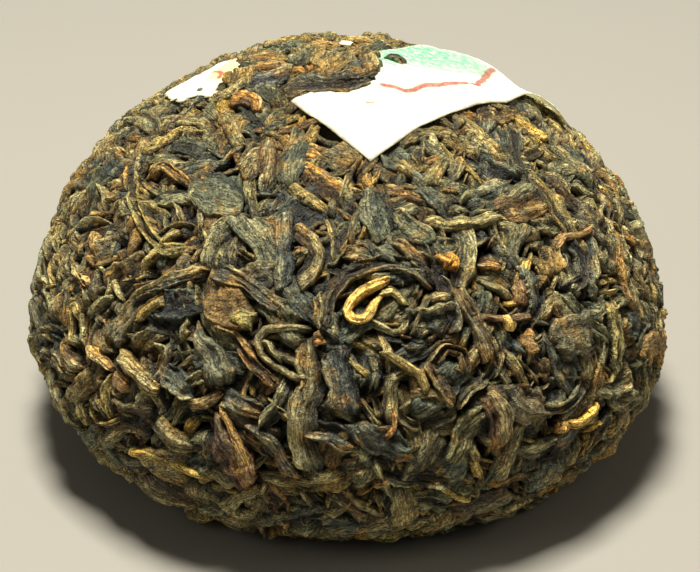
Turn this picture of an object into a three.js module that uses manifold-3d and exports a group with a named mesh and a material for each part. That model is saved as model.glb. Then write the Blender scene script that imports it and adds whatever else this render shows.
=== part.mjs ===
// A pressed pu-erh tea nest, or tuocha: a domed cake of twisted leaves with a round hollow
// underneath, and paper slips pressed into its crown. Units are millimetres and +Z is up.
// The origin is at the foot, in the middle of the cake as seen from above.

import * as THREE from "three";
import { mergeVertices } from "three/addons/utils/BufferGeometryUtils.js";
import Module from "manifold-3d";

const wasm = await Module();
wasm.setup();

// ---- Driving dimensions of the cake ----
const BELLY_RADIUS = 42; // widest ring
const BELLY_HEIGHT = 13.3; // of that ring above the foot
const CROWN_HEIGHT = 50.3; // top of the dome
const CROWN_POWER = 1.9; // 2 is an ellipse, and less makes the shoulders more conical
const FOOT_RADIUS = 31.6; // outer edge of the ring it stands on
const FOOT_POWER = 1.66; // how the side rounds in under the belly
const HOLLOW_RADIUS = 24.5; // mouth of the hollow, at the foot
const HOLLOW_DEPTH = 25;
const LEAN = 0.035; // the crown sits a little towards -X, per mm of height
const LEAN_FROM = 14; // height that stays where it is

// ---- Leaves ----
const LEAF_RELIEF = 1.4; // how far leaf tops stand over the bare core
const CORE_BUMP = 0.55; // crumbs too fine to model, as unevenness of the core
const LONGEST_LEAF = 19;
const SHORTEST_LEAF = 7;
const WIDEST_LEAF = 5.6;
const NARROWEST_LEAF = 2.3;
const BROAD_LEAF = 3.6; // from this width a leaf has a flattened top
const LEAF_ROOT = 2.6; // how deep a leaf's underside reaches below the skin
const OUTER_LEAVES = 112; // besides the landmark leaves
const HOLLOW_LEAVES = 14;
const LEAF_SPACING = 1.0; // of the mean width of two neighbours
const SEED = 7351;

// The leaves that catch the eye on the front, each as its width and then the turn (degrees
// from +X) and height of points along its midline.
const LANDMARK_LEAVES = [
  [1.6, [-79.5, 36.1], [-84.4, 35.3], [-88.2, 34.0], [-86.0, 33.0], [-82.4, 35.0]], // curled bud
  [2.6, [-155.5, 39.4], [-147.7, 38.1], [-137.6, 36.7], [-131.6, 36.1], [-127.2, 37.1]],
  [4.6, [-113.0, 20.5], [-109.6, 16.9], [-106.0, 12.2]], // purple blade
  [2.4, [-107.9, 18.9], [-103.1, 17.6], [-98.4, 15.0]],
  [1.7, [-130.2, 12.4], [-125.0, 13.8], [-119.9, 13.8], [-114.3, 12.8]], // pale stem
  [4.4, [-119.5, 33.2], [-113.5, 33.4], [-107.5, 33.7]], // rough chip
  [1.8, [-133.7, 30.5], [-128.0, 33.1], [-119.0, 35.7]],
  [2.4, [-117.9, 35.9], [-110.4, 35.1], [-102.5, 33.8]],
  [2.6, [-94.8, 31.7], [-93.6, 34.5], [-89.4, 36.8], [-80.4, 37.7], [-73.1, 36.7], [-70.4, 34.7]],
  [1.8, [-39.1, 34.8], [-35.9, 35.2], [-29.3, 34.2], [-25.5, 34.0]], // red strand
  [1.8, [-17.3, 31.5], [-22.8, 28.7], [-25.9, 24.4]],
  [3.6, [-29.0, 19.4], [-20.5, 17.2], [-13.5, 14.8]], // knob at the side
  [1.7, [-83.0, 29.6], [-77.0, 26.9], [-76.2, 24.8]],
  [2.0, [-75.4, 27.1], [-71.4, 29.2], [-68.6, 28.4], [-68.6, 26.2]],
  [2.4, [-67.4, 34.6], [-65.2, 30.8], [-62.9, 26.9]],
  [4.4, [-93.0, 30.4], [-90.9, 27.3], [-88.9, 23.8]], // big dark leaf
  [3.2, [-65.8, 24.2], [-64.7, 20.3], [-63.4, 16.0]], // brown oval leaf
  [2.8, [-105.6, 41.8], [-103.5, 38.4], [-102.0, 34.8]],
  [2.2, [-101.4, 40.3], [-97.5, 39.6], [-95.4, 38.4], [-95.9, 36.6]],
  [4.0, [-130.6, 31.0], [-124.2, 31.6], [-118.8, 33.0]], // blue-grey pieces
];

// ---- Paper slips, as outlines seen from above ----
const PAPER_THICKNESS = 0.35;
const PAPER_SINK = 0.25; // its top face below the leaf tops
const PAPER_CLEARANCE = 0.3; // between a slip and the tea
const TICKET_OUTLINE = [
  // cut edge, from the sharp corner that points down the front to the far right
  [2.6, -18.9], [9.7, -11.6], [14.1, -6.4], [18.2, -1.4], [20.2, 0.3], [22.3, 3.6],
  [24.8, 6.0], [27.4, 6.2], [28.9, 6.4],
  // cut end, over the back shoulder, and the other long edge
  [27.6, 9.5], [24.0, 13.2], [19.4, 17.0], [14.5, 16.6], [10.1, 12.2], [6.0, 7.6],
  // where the tea covers it, and the short cut edge back to the corner
  [4.0, 4.6], [3.5, 0.8], [4.8, -5.3], [0.1, -8.6], [-4.7, -8.6], [-6.9, -9.7], [-2.3, -14.2],
];
const SCRAP_OUTLINE = [
  [-24.0, 6.3], [-23.2, 2.4], [-21.4, -0.4], [-17.1, -2.5], [-16.9, 0.1], [-15.4, 1.0],
  [-14.1, 2.9], [-14.8, 8.4], [-17.1, 10.6], [-19.5, 7.6],
];
const SPECK_OUTLINE = [
  [0.5, 8.0], [0.1, 9.4], [-0.8, 9.6], [-1.3, 8.1], [-0.9, 6.6], [0.1, 6.4],
];
// Places where the ticket stands off the tea: x, y, height and reach
const TICKET_LIFTS = [
  [24.6, 4.9, 1.3, 4.2],
  [-6.6, -9.4, 0.5, 2.2],
];

const core_steps_round = 24;
const dome_steps = 10;
const hollow_steps = 4;
const profile_samples = 240;

// Small seeded generator, so that every run gives the same leaves.
function makeRandom(seed) {
  let state = seed >>> 0;
  return () => {
    state = (state + 0x6d2b79f5) >>> 0;
    let t = state;
    t = Math.imul(t ^ (t >>> 15), t | 1);
    t ^= t + Math.imul(t ^ (t >>> 7), t | 61);
    return ((t ^ (t >>> 14)) >>> 0) / 4294967296;
  };
}

// ---- The skin: the smooth surface that the leaf tops reach ----

function superellipse(quarter, power) {
  return [
    Math.sin(quarter) ** (2 / power),
    Math.cos(quarter) ** (2 / power),
  ];
}

// Half outline of the outside, from the crown down to the foot ring.
function outsideProfile(steps) {
  const points = [];
  const upper = Math.round(steps * 0.72);
  for (let i = 0; i <= upper; i++) {
    const [r, z] = superellipse((i / upper) * (Math.PI / 2), CROWN_POWER);
    const height = BELLY_HEIGHT + (CROWN_HEIGHT - BELLY_HEIGHT) * z;
    points.push(new THREE.Vector2(BELLY_RADIUS * r, height));
  }
  const lower = steps - upper;
  for (let i = 1; i <= lower; i++) {
    const [z, r] = superellipse((i / lower) * (Math.PI / 2), FOOT_POWER);
    const radius = FOOT_RADIUS + (BELLY_RADIUS - FOOT_RADIUS) * r;
    points.push(new THREE.Vector2(radius, BELLY_HEIGHT * (1 - z)));
  }
  return points;
}

// Half outline of the hollow, from its roof down to its mouth.
function hollowProfile(steps) {
  const points = [];
  for (let i = 0; i <= steps; i++) {
    const [r, z] = superellipse((i / steps) * (Math.PI / 2), 2.1);
    points.push(new THREE.Vector2(HOLLOW_RADIUS * r, HOLLOW_DEPTH * z));
  }
  return points;
}

// A surface of revolution that leaves can walk on. facing is 1 where the tea lies inside
// the profile and -1 in the hollow, where it lies outside.
class Skin {
  constructor(profile, facing) {
    this.points = new THREE.SplineCurve(profile).getSpacedPoints(profile_samples);
    this.facing = facing;
  }

  // The nearest point of the skin, and the direction that faces out of the tea there.
  settle(p) {
    const r = Math.hypot(p.x, p.y);
    let best = 1;
    let least = Infinity;
    for (let i = 1; i < this.points.length - 1; i++) {
      const gap = Math.hypot(this.points[i].x - r, this.points[i].y - p.z);
      if (gap < least) {
        least = gap;
        best = i;
      }
    }
    const here = this.points[best];
    const along = this.points[best + 1].clone().sub(this.points[best - 1]).normalize();
    const turn = Math.atan2(p.y, p.x);
    const out = new THREE.Vector3(-along.y * Math.cos(turn), -along.y * Math.sin(turn), along.x);
    return {
      point: new THREE.Vector3(here.x * Math.cos(turn), here.x * Math.sin(turn), here.y),
      normal: out.multiplyScalar(this.facing),
    };
  }

  // The skin's point at a height, above the belly's underside, and a turn about Z.
  atHeight(height, turn) {
    const at = this.points.find((q) => q.y <= height);
    return new THREE.Vector3(at.x * Math.cos(turn), at.x * Math.sin(turn), at.y);
  }

  // A point spread evenly over the area, from two numbers in 0..1.
  spread(a, b) {
    if (!this.areas) {
      let sum = 0;
      this.areas = this.points.map((q) => (sum += q.x));
    }
    const wanted = a * this.areas[this.areas.length - 1];
    const at = this.points[this.areas.findIndex((sum) => sum >= wanted)];
    const turn = b * Math.PI * 2;
    return new THREE.Vector3(at.x * Math.cos(turn), at.x * Math.sin(turn), at.y);
  }
}

const outside = new Skin(outsideProfile(80), 1);
const hollow = new Skin(hollowProfile(40), -1);

// ---- Solids ----

function solidOf(positions, index) {
  const geometry = new THREE.BufferGeometry();
  geometry.setAttribute("position", new THREE.Float32BufferAttribute(positions, 3));
  geometry.setIndex(index);
  return solidOfGeometry(geometry);
}

function solidOfGeometry(geometry) {
  const bare = geometry.clone();
  bare.deleteAttribute("normal");
  bare.deleteAttribute("uv");
  const merged = mergeVertices(bare, 1e-4);
  return new wasm.Manifold(
    new wasm.Mesh({
      numProp: 3,
      vertProperties: new Float32Array(merged.attributes.position.array),
      triVerts: new Uint32Array(merged.index.array),
    }),
  );
}

// The leaning crown: every piece goes through this last.
function leanGeometry(solid) {
  const made = solid.getMesh();
  const positions = new Float32Array(made.numVert * 3);
  for (let i = 0; i < made.numVert; i++) {
    const [x, y, z] = made.vertProperties.subarray(i * made.numProp, i * made.numProp + 3);
    positions.set([x - LEAN * (z - LEAN_FROM), y, z], i * 3);
  }
  const geometry = new THREE.BufferGeometry();
  geometry.setAttribute("position", new THREE.BufferAttribute(positions, 3));
  geometry.setIndex(new THREE.BufferAttribute(new Uint32Array(made.triVerts), 1));
  geometry.computeVertexNormals();
  return geometry;
}

// Only the largest closed surface is kept, which drops scraps and fills sealed pockets.
function largestOf(solid) {
  const parts = solid.decompose();
  return parts.reduce((best, part) => (part.volume() > best.volume() ? part : best));
}

// The packed heart of the cake, just under the leaves, with bumps over its surface.
function makeCore(random) {
  const foot_sink = -1; // cut away again, to leave the foot flat
  const inner = hollowProfile(hollow_steps).map(
    (q) => new THREE.Vector2(q.x > 0 ? q.x + LEAF_RELIEF * 0.5 : 0, q.y + LEAF_RELIEF * 0.5),
  );
  const outer = outsideProfile(dome_steps).map(
    (q) => new THREE.Vector2(Math.max(q.x - LEAF_RELIEF, 0), q.y - LEAF_RELIEF * (q.y / CROWN_HEIGHT)),
  );
  outer[0].x = 0;
  const outline = [
    ...inner,
    new THREE.Vector2(inner.at(-1).x, foot_sink),
    new THREE.Vector2(outer.at(-1).x, foot_sink),
    ...outer.reverse(),
  ];
  let geometry = new THREE.LatheGeometry(outline, core_steps_round);
  geometry.rotateX(Math.PI / 2);
  geometry.deleteAttribute("normal");
  geometry.deleteAttribute("uv");
  geometry = mergeVertices(geometry, 1e-4);
  const at = geometry.attributes.position;
  for (let i = 0; i < at.count; i++) {
    const place = new THREE.Vector3().fromBufferAttribute(at, i);
    if (place.z > foot_sink) place.addScaledVector(place.clone().normalize(), CORE_BUMP * (2 * random() - 1));
    at.setXYZ(i, place.x, place.y, place.z);
  }
  const core = solidOfGeometry(geometry);
  return core.volume() > 0 ? core : turnedRound(geometry);
}

function turnedRound(geometry) {
  const index = geometry.index.array;
  for (let i = 0; i < index.length; i += 3) {
    [index[i + 1], index[i + 2]] = [index[i + 2], index[i + 1]];
  }
  return solidOfGeometry(geometry);
}

// Walks a leaf's midline over the skin from its middle, turning by bend radians per mm.
function midline(skin, middle, heading, length, bend, stations) {
  const step = length / (stations - 1);
  const walk = (direction, count) => {
    const line = [];
    let { point, normal } = skin.settle(middle);
    const way = heading.clone().multiplyScalar(direction);
    for (let i = 0; i < count; i++) {
      way.addScaledVector(normal, -way.dot(normal)).normalize();
      way.applyAxisAngle(normal, bend * step * direction);
      ({ point, normal } = skin.settle(point.clone().addScaledVector(way, step)));
      line.push({ point, normal });
    }
    return line;
  };
  const half = (stations - 1) / 2;
  return [...walk(-1, half).reverse(), skin.settle(middle), ...walk(1, half)];
}

// A midline through points given by turn and height.
function midlineThrough(skin, places, stations) {
  const knots = places.map(([degrees, height]) => {
    const turn = THREE.MathUtils.degToRad(degrees);
    return skin.settle(skin.atHeight(height, turn)).point;
  });
  const curve = new THREE.CatmullRomCurve3(knots, false, "centripetal");
  return curve.getSpacedPoints(stations - 1).map((place) => skin.settle(place));
}

// A leaf pressed into the cake: a tapered, flattened roll with a keel that roots it.
function leafSolid(line, width, height, crest) {
  const section = [
    [0, -LEAF_ROOT],
    [0.5 * width, -0.45 * height],
    ...(width < BROAD_LEAF ? [[crest * width, 0]] : [[0.28 * width, -0.08], [-0.2 * width, 0]]),
    [-0.5 * width, -0.5 * height],
  ];
  const positions = [];
  const index = [];
  const last = line.length - 1;
  for (let k = 1; k < last; k++) {
    const { point, normal } = line[k];
    const along = line[k + 1].point.clone().sub(line[k - 1].point).normalize();
    const side = normal.clone().cross(along).normalize();
    const taper = Math.sin((k / last) * Math.PI) ** 0.45;
    for (const [across, up] of section) {
      const place = point.clone().addScaledVector(side, across * taper);
      place.addScaledVector(normal, up > 0 ? up * taper : up);
      positions.push(place.x, place.y, place.z);
    }
  }
  for (const end of [0, last]) {
    const { point, normal } = line[end];
    const tip = point.clone().addScaledVector(normal, -0.8 * height);
    positions.push(tip.x, tip.y, tip.z);
  }
  const sides = section.length;
  const rings = last - 1;
  for (let k = 0; k < rings - 1; k++) {
    for (let j = 0; j < sides; j++) {
      const [a, b] = [k * sides + j, k * sides + ((j + 1) % sides)];
      index.push(a, b, b + sides, a, b + sides, a + sides);
    }
  }
  const [start_tip, end_tip] = [rings * sides, rings * sides + 1];
  for (let j = 0; j < sides; j++) {
    const next = (j + 1) % sides;
    index.push(start_tip, next, j);
    index.push(end_tip, (rings - 1) * sides + j, (rings - 1) * sides + next);
  }
  return solidOf(positions, index);
}

// Leaves over a skin, the largest first, each clear of the ones before it.
function scatterLeaves(skin, landmarks, count, random) {
  const placed = [];
  const leaves = [];
  for (const [width, ...places] of landmarks) {
    const line = midlineThrough(skin, places, places.length > 4 ? 9 : 5);
    placed.push(...line.map(({ point }) => ({ point, width })));
    leaves.push(leafSolid(line, width, LEAF_RELIEF, 0.5 * (random() - 0.5)));
  }
  count += landmarks.length;
  const most_tries = count * 120;
  for (let tries = 0; tries < most_tries && leaves.length < count; tries++) {
    const share = Math.min(1, leaves.length / count + 0.15 * (random() - 0.5));
    const length = THREE.MathUtils.lerp(LONGEST_LEAF, SHORTEST_LEAF, Math.max(0, share));
    const width = THREE.MathUtils.lerp(NARROWEST_LEAF, WIDEST_LEAF, random() * (1 - 0.4 * share));
    const middle = skin.spread(random(), random());
    const heading = new THREE.Vector3(random() - 0.5, random() - 0.5, random() - 0.5);
    const bend = (random() - 0.5) * 0.16;
    const line = midline(skin, middle, heading, length, bend, length > 14 ? 7 : 5);
    const clear = line.every(({ point }) =>
      placed.every((other) => point.distanceTo(other.point) > LEAF_SPACING * 0.5 * (width + other.width)),
    );
    if (!clear) continue;
    placed.push(...line.map(({ point }) => ({ point, width })));
    leaves.push(leafSolid(line, width, LEAF_RELIEF * (0.75 + 0.5 * random()), 0.5 * (random() - 0.5)));
  }
  return leaves;
}

// ---- Paper slips ----

// Height of the upright dome's skin over a point seen from above.
function domeHeight(x, y) {
  const share = Math.min(1, Math.hypot(x, y) / BELLY_RADIUS);
  const rise = (1 - share ** CROWN_POWER) ** (1 / CROWN_POWER);
  return BELLY_HEIGHT + (CROWN_HEIGHT - BELLY_HEIGHT) * rise;
}

// The outlines are measured on the leaning cake, and the slips are made on the upright one.
function slipPlace([leaning_x, y], above) {
  const near_crown = leaning_x + LEAN * (CROWN_HEIGHT - LEAN_FROM);
  const x = leaning_x + LEAN * (domeHeight(near_crown, y) - LEAN_FROM);
  const ripple = 0.12 * Math.sin(x * 0.9 + 0.4) + 0.1 * Math.cos(y * 0.8 - x * 0.3);
  const lifts = TICKET_LIFTS.map(([at_x, at_y, height, reach]) => {
    const away = Math.hypot(x - at_x, y - at_y) / reach;
    return height * Math.exp(-away * away);
  });
  return [x, y, domeHeight(x, y) + above + ripple + Math.max(...lifts)];
}

// An outline grown outwards by a margin.
function grown(outline, margin) {
  return outline.map((here, i) => {
    const before = outline.at(i - 1);
    const after = outline[(i + 1) % outline.length];
    const away = new THREE.Vector2(after.y - before.y, before.x - after.x).normalize();
    return here.clone().addScaledVector(away, margin);
  });
}

// A sheet draped on the dome from an outline seen from above, counter-clockwise, and grown by
// a margin. Both faces are split into triangles alike, each cut in four as often as splits
// says, and the margin doesn't change how.
function drapedSolid(outline, margin, bottom, top, splits) {
  const flat = grown(outline, margin).map((q) => [q.x, q.y]);
  let faces = THREE.ShapeUtils.triangulateShape(outline, []);
  let border = outline.map((_, i) => [i, (i + 1) % outline.length]);
  for (let round = 0; round < splits; round++) {
    const middles = new Map();
    const middle = (a, b) => {
      const key = Math.min(a, b) + "_" + Math.max(a, b);
      if (!middles.has(key)) {
        flat.push([(flat[a][0] + flat[b][0]) / 2, (flat[a][1] + flat[b][1]) / 2]);
        middles.set(key, flat.length - 1);
      }
      return middles.get(key);
    };
    faces = faces.flatMap(([a, b, c]) => {
      const [ab, bc, ca] = [middle(a, b), middle(b, c), middle(c, a)];
      return [
        [a, ab, ca],
        [ab, b, bc],
        [ca, bc, c],
        [ab, bc, ca],
      ];
    });
    border = border.flatMap(([a, b]) => [
      [a, middle(a, b)],
      [middle(a, b), b],
    ]);
  }
  const count = flat.length;
  const positions = [...flat.map((q) => slipPlace(q, bottom)), ...flat.map((q) => slipPlace(q, top))];
  const index = faces.flatMap(([a, b, c]) => [a, c, b, a + count, b + count, c + count]);
  for (const [a, b] of border) index.push(a, b, b + count, a, b + count, a + count);
  return solidOf(positions.flat(), index);
}

function outlineOf(corners) {
  return corners.map(([x, y]) => new THREE.Vector2(x, y));
}

function paperSlip(outline, splits) {
  return {
    slip: drapedSolid(outline, 0, -PAPER_SINK - PAPER_THICKNESS, -PAPER_SINK, splits),
    pocket: drapedSolid(
      outline,
      PAPER_CLEARANCE,
      -PAPER_SINK - PAPER_THICKNESS - PAPER_CLEARANCE,
      LEAF_RELIEF * 3,
      splits,
    ),
  };
}

// ---- Assembly ----

const random = makeRandom(SEED);
const slips = {
  paper_ticket: paperSlip(outlineOf(TICKET_OUTLINE), 2),
  paper_scrap: paperSlip(outlineOf(SCRAP_OUTLINE), 1),
  paper_speck: paperSlip(outlineOf(SPECK_OUTLINE), 1),
};

const below_foot = new THREE.BoxGeometry(4 * BELLY_RADIUS, 4 * BELLY_RADIUS, 20).translate(0, 0, -10);
let cake = wasm.Manifold.union([
  makeCore(random),
  ...scatterLeaves(outside, LANDMARK_LEAVES, OUTER_LEAVES, random),
  ...scatterLeaves(hollow, [], HOLLOW_LEAVES, random),
]);
cake = cake.subtract(solidOfGeometry(below_foot));
for (const { pocket } of Object.values(slips)) cake = cake.subtract(pocket);

const tea = new THREE.MeshStandardMaterial({ color: 0x3a3023, roughness: 0.85, metalness: 0 });
const paper = new THREE.MeshStandardMaterial({ color: 0xf6f2dc, roughness: 0.9, metalness: 0 });

function addPiece(group, name, solid, material) {
  const mesh = new THREE.Mesh(leanGeometry(solid), material);
  mesh.name = name;
  group.add(mesh);
}

const tuocha = new THREE.Group();
addPiece(tuocha, "tea_cake", largestOf(cake), tea);
for (const [name, { slip }] of Object.entries(slips)) addPiece(tuocha, name, slip, paper);

const middle = new THREE.Box3().setFromObject(tuocha).getCenter(new THREE.Vector3());
tuocha.position.set(-middle.x, -middle.y, 0);

export default tuocha;
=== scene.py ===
# A pressed pu-erh tea nest, or tuocha, with slips of paper pressed into its crown.
# Lengths are in millimetres until a mesh is made.

import math

import bpy
import numpy as np
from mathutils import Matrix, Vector
from mathutils.geometry import delaunay_2d_cdt


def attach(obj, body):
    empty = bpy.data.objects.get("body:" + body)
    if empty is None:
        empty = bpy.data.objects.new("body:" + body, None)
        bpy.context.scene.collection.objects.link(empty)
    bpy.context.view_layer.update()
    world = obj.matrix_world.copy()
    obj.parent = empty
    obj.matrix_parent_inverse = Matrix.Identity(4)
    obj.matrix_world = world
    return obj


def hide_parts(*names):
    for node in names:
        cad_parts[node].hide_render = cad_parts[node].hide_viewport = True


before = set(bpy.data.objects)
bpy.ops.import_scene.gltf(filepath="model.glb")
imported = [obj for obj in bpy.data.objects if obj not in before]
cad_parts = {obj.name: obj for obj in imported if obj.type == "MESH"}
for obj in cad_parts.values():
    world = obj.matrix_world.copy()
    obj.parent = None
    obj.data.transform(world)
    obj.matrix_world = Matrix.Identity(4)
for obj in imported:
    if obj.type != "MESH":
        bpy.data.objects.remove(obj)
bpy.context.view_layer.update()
for carried_over in bpy.context.selected_objects:
    carried_over.select_set(False)


# ---- The heart of the cake ----
# Broken leaf and tea dust, steamed soft and pressed solid between a cloth bag and a stone.
# It is dry, and it only shows down in the gaps between the whole leaves: its near black is partly its own and
# partly painted shade of those gaps.

BELLY_RADIUS = 42.0
BELLY_HEIGHT = 13.3
CROWN_HEIGHT = 50.3
CROWN_POWER = 1.893        # 2 is an ellipse, and less makes the shoulders more conical
FOOT_RADIUS = 31.6
FOOT_POWER = 1.66
FOOT_LIP = [(27.0, 0.0), (25.9, 0.35), (25.0, 1.2), (24.6, 2.4)]   # as radius and height
HOLLOW_RADIUS = 24.5
HOLLOW_DEPTH = 25.0
HOLLOW_POWER = 0.95        # 1 is an ellipse, and less makes the hollow fuller
HOLLOW_FROM = 0.13         # angle on that ellipse where the lip ends
LEAN = 0.035               # the crown sits a little towards -X, per mm of height
LEAN_FROM = 14.0
MODEL_SHIFT = np.array([0.0, -0.27, 0.0])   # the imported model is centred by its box
MM = 0.001                 # in metres

# Distances along the half outline, from the top of the crown or the middle of the roof
CROWN_SPAN = 30            # crown where a plan radius is met once
ROOF_SPAN = 14             # the same for the hollow's roof
POLE_SPAN = 12             # ends where a step is taken in plan
DOME_SPAN = 58             # dome that is seen from above
OUTSIDE_SPAN = 79          # whole outside, down to the foot
TABLE_SIZE = 4001          # of the half outline
ROUNDING = 45              # entries of it on each side that a corner is rounded over

CORE_DEPTH = 2.4           # mean depth of the core below the skin
CORE_FLOOR = 0.15          # height that its foot keeps off the floor
CORE_LUMPS = [(0.35, 3.1, 0), (0.25, 1.2, 50)]   # height, width, and where in the noise
CORE_RINGS = 110
CORE_SPOKES = 160
BED_DEPTH = 1.35           # depth below the skin that the first leaves are laid at
CELL = 0.4                 # of the height map that the leaves are pressed against


def linear(hex_colour):
    """An sRGB hex colour as the linear values that Blender keeps, with its alpha."""
    channels = [int(hex_colour[i:i + 2], 16) / 255 for i in (1, 3, 5)]
    return [c / 12.92 if c <= 0.04045 else ((c + 0.055) / 1.055) ** 2.4 for c in channels] + [1.0]


def add_node(tree, kind, settings=None, **inputs):
    """Adds a node, with its settings, and links or sets its inputs by name, or by number as _0.
    The two colours of a Mix node are its inputs 6 and 7, and the mixed one is its output 2."""
    made = tree.nodes.new("ShaderNode" + kind)
    for key, value in (settings or {}).items():
        setattr(made, key, value)
    for key, value in inputs.items():
        socket = made.inputs[int(key[1:]) if key[0] == "_" else key.replace("_", " ")]
        if isinstance(value, bpy.types.NodeSocket):
            tree.links.new(value, socket)
        else:
            socket.default_value = value
    return made


def unit(vectors):
    """Vectors of length 1 in the same directions."""
    return vectors / np.maximum(np.linalg.norm(vectors, axis=-1, keepdims=True), 1e-9)


def half_outline():
    """The cake's half outline, from the crown over the belly and foot to the hollow's roof."""
    quarter = np.linspace(0, math.pi / 2, 200)
    up = np.cos(quarter) ** (2 / CROWN_POWER)
    out = np.sin(quarter) ** (2 / CROWN_POWER)
    dome = np.stack([BELLY_RADIUS * out, BELLY_HEIGHT + (CROWN_HEIGHT - BELLY_HEIGHT) * up], 1)
    down = np.sin(quarter) ** (2 / FOOT_POWER)
    out = np.cos(quarter) ** (2 / FOOT_POWER)
    under = np.stack([FOOT_RADIUS + (BELLY_RADIUS - FOOT_RADIUS) * out, BELLY_HEIGHT * (1 - down)], 1)
    rise = np.linspace(HOLLOW_FROM, math.pi / 2, 120)
    hollow = np.stack([HOLLOW_RADIUS * np.cos(rise) ** HOLLOW_POWER,
                       HOLLOW_DEPTH * np.sin(rise) ** HOLLOW_POWER], 1)
    return np.concatenate([dome, under[1:], np.array(FOOT_LIP), hollow])


class Skin:
    """The smooth surface that the leaf tops reach, as a table along its half outline.
    A place on it is (s, turn): the distance along the outline, and the angle round +Z.
    It also keeps the height of what has been pressed on so far, cell by cell."""

    def __init__(self, outline, cell, height):
        self.cell = cell
        run = np.concatenate([[0], np.cumsum(np.hypot(*np.diff(outline, axis=0).T))])
        self.length = run[-1]
        self.run = np.linspace(0, self.length, TABLE_SIZE)
        r = np.interp(self.run, run, outline[:, 0])
        z = np.interp(self.run, run, outline[:, 1])
        window = np.hanning(2 * ROUNDING + 1) / np.hanning(2 * ROUNDING + 1).sum()
        r = np.concatenate([-r[ROUNDING:0:-1], r, -r[-2:-ROUNDING - 2:-1]])
        z = np.concatenate([z[ROUNDING:0:-1], z, z[-2:-ROUNDING - 2:-1]])
        self.r = np.convolve(r, window, "valid")
        self.z = np.convolve(z, window, "valid")
        slope = unit(np.stack([np.gradient(self.r), np.gradient(self.z)], 1))
        self.dr, self.dz = slope.T
        self.top_end = self.run < CROWN_SPAN
        self.roof_end = self.run > self.length - ROOF_SPAN
        middles = (np.arange(int(self.length / cell) + 1) + 0.5) * cell
        around = 2 * math.pi * np.interp(middles, self.run, self.r)
        self.columns = np.maximum(4, np.ceil(around / cell)).astype(int)
        self.row_start = np.concatenate([[0], np.cumsum(self.columns)[:-1]])
        self.height = np.full(self.columns.sum(), height)

    def frame(self, s, turn):
        """Point, the direction down the outline, and the direction out of the tea."""
        at = np.clip(s, 0, self.length) * ((len(self.run) - 1) / self.length)
        at = np.clip(np.round(at).astype(int), 0, len(self.run) - 1)
        c, sn = np.cos(turn), np.sin(turn)
        r, z, dr, dz = self.r[at], self.z[at], self.dr[at], self.dz[at]
        point = np.stack([r * c, r * sn, z], -1)
        along = np.stack([dr * c, dr * sn, dz], -1)
        out = np.stack([-dz * c, -dz * sn, dr], -1)
        return point, along, out

    def move(self, s, turn, step):
        """Where a small step in space from a place on the skin leads."""
        point, along, _ = self.frame(s, turn)
        target = point + step
        new_s = s + (step * along).sum(-1)
        r = np.hypot(target[..., 0], target[..., 1])
        from_top = np.interp(r, self.r[self.top_end], self.run[self.top_end])
        from_roof = np.interp(-r, -self.r[self.roof_end], self.run[self.roof_end])
        new_s = np.where(s < POLE_SPAN, from_top, new_s)
        new_s = np.where(s > self.length - POLE_SPAN, from_roof, new_s)
        return np.clip(new_s, 0, self.length), np.arctan2(target[..., 1], target[..., 0])

    def cells(self, s, turn):
        """The numbers of the cells that places are in."""
        row = np.clip((s / self.cell).astype(int), 0, len(self.columns) - 1)
        column = (turn / (2 * math.pi) % 1 * self.columns[row]).astype(int)
        return self.row_start[row] + np.minimum(column, self.columns[row] - 1)

    def cell_places(self):
        """The (s, turn) of the middle of every cell."""
        rows = np.repeat(np.arange(len(self.columns)), self.columns)
        column = np.arange(len(rows)) - self.row_start[rows]
        return (rows + 0.5) * self.cell, (column + 0.5) / self.columns[rows] * 2 * math.pi

    def walk(self, s, turn, heading, steps, bends):
        """Midlines from starting places: s, turn and direction, as (leaf, station) arrays."""
        _, along, out = self.frame(s, turn)
        way = along * np.cos(heading)[:, None] + np.cross(out, along) * np.sin(heading)[:, None]
        track = [(s, turn, way)]
        for k in range(steps.shape[1]):
            s, turn = self.move(s, turn, way * steps[:, k, None])
            _, _, out = self.frame(s, turn)
            way = unit(way - out * (way * out).sum(-1, keepdims=True))
            bend = (bends[:, k] * steps[:, k])[:, None]
            way = way * np.cos(bend) + np.cross(out, way) * np.sin(bend)
            track.append((s, turn, way))
        return [np.stack(values, 1) for values in zip(*track)]

    def s_at_height(self, z):
        """Distance along the outline to a height on the outside."""
        outside = self.run < OUTSIDE_SPAN
        return np.interp(-np.asarray(z), -self.z[outside], self.run[outside])


def lean_over(points):
    """Takes points of the upright cake to where they are on the leaning one."""
    moved = points.copy()
    moved[..., 0] -= LEAN * (points[..., 2] - LEAN_FROM)
    return moved + MODEL_SHIFT


def lattice(seed, size=24):
    """Smooth noise in space, for arrays of points in mm: values in -1..1 at a wavelength in mm."""
    values = np.random.default_rng(seed).uniform(-1, 1, (size, size, size))

    def sample(points, wavelength):
        q = points / wavelength
        low = np.floor(q).astype(int)
        t = q - low
        t = t * t * (3 - 2 * t)
        total = 0.0
        for corner in np.ndindex(2, 2, 2):
            at = tuple((low[..., axis] + corner[axis]) % size for axis in range(3))
            wx, wy, wz = (t[..., axis] if corner[axis] else 1 - t[..., axis] for axis in range(3))
            total = total + values[at] * (wx * wy) * wz
        return total
    return sample


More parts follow.
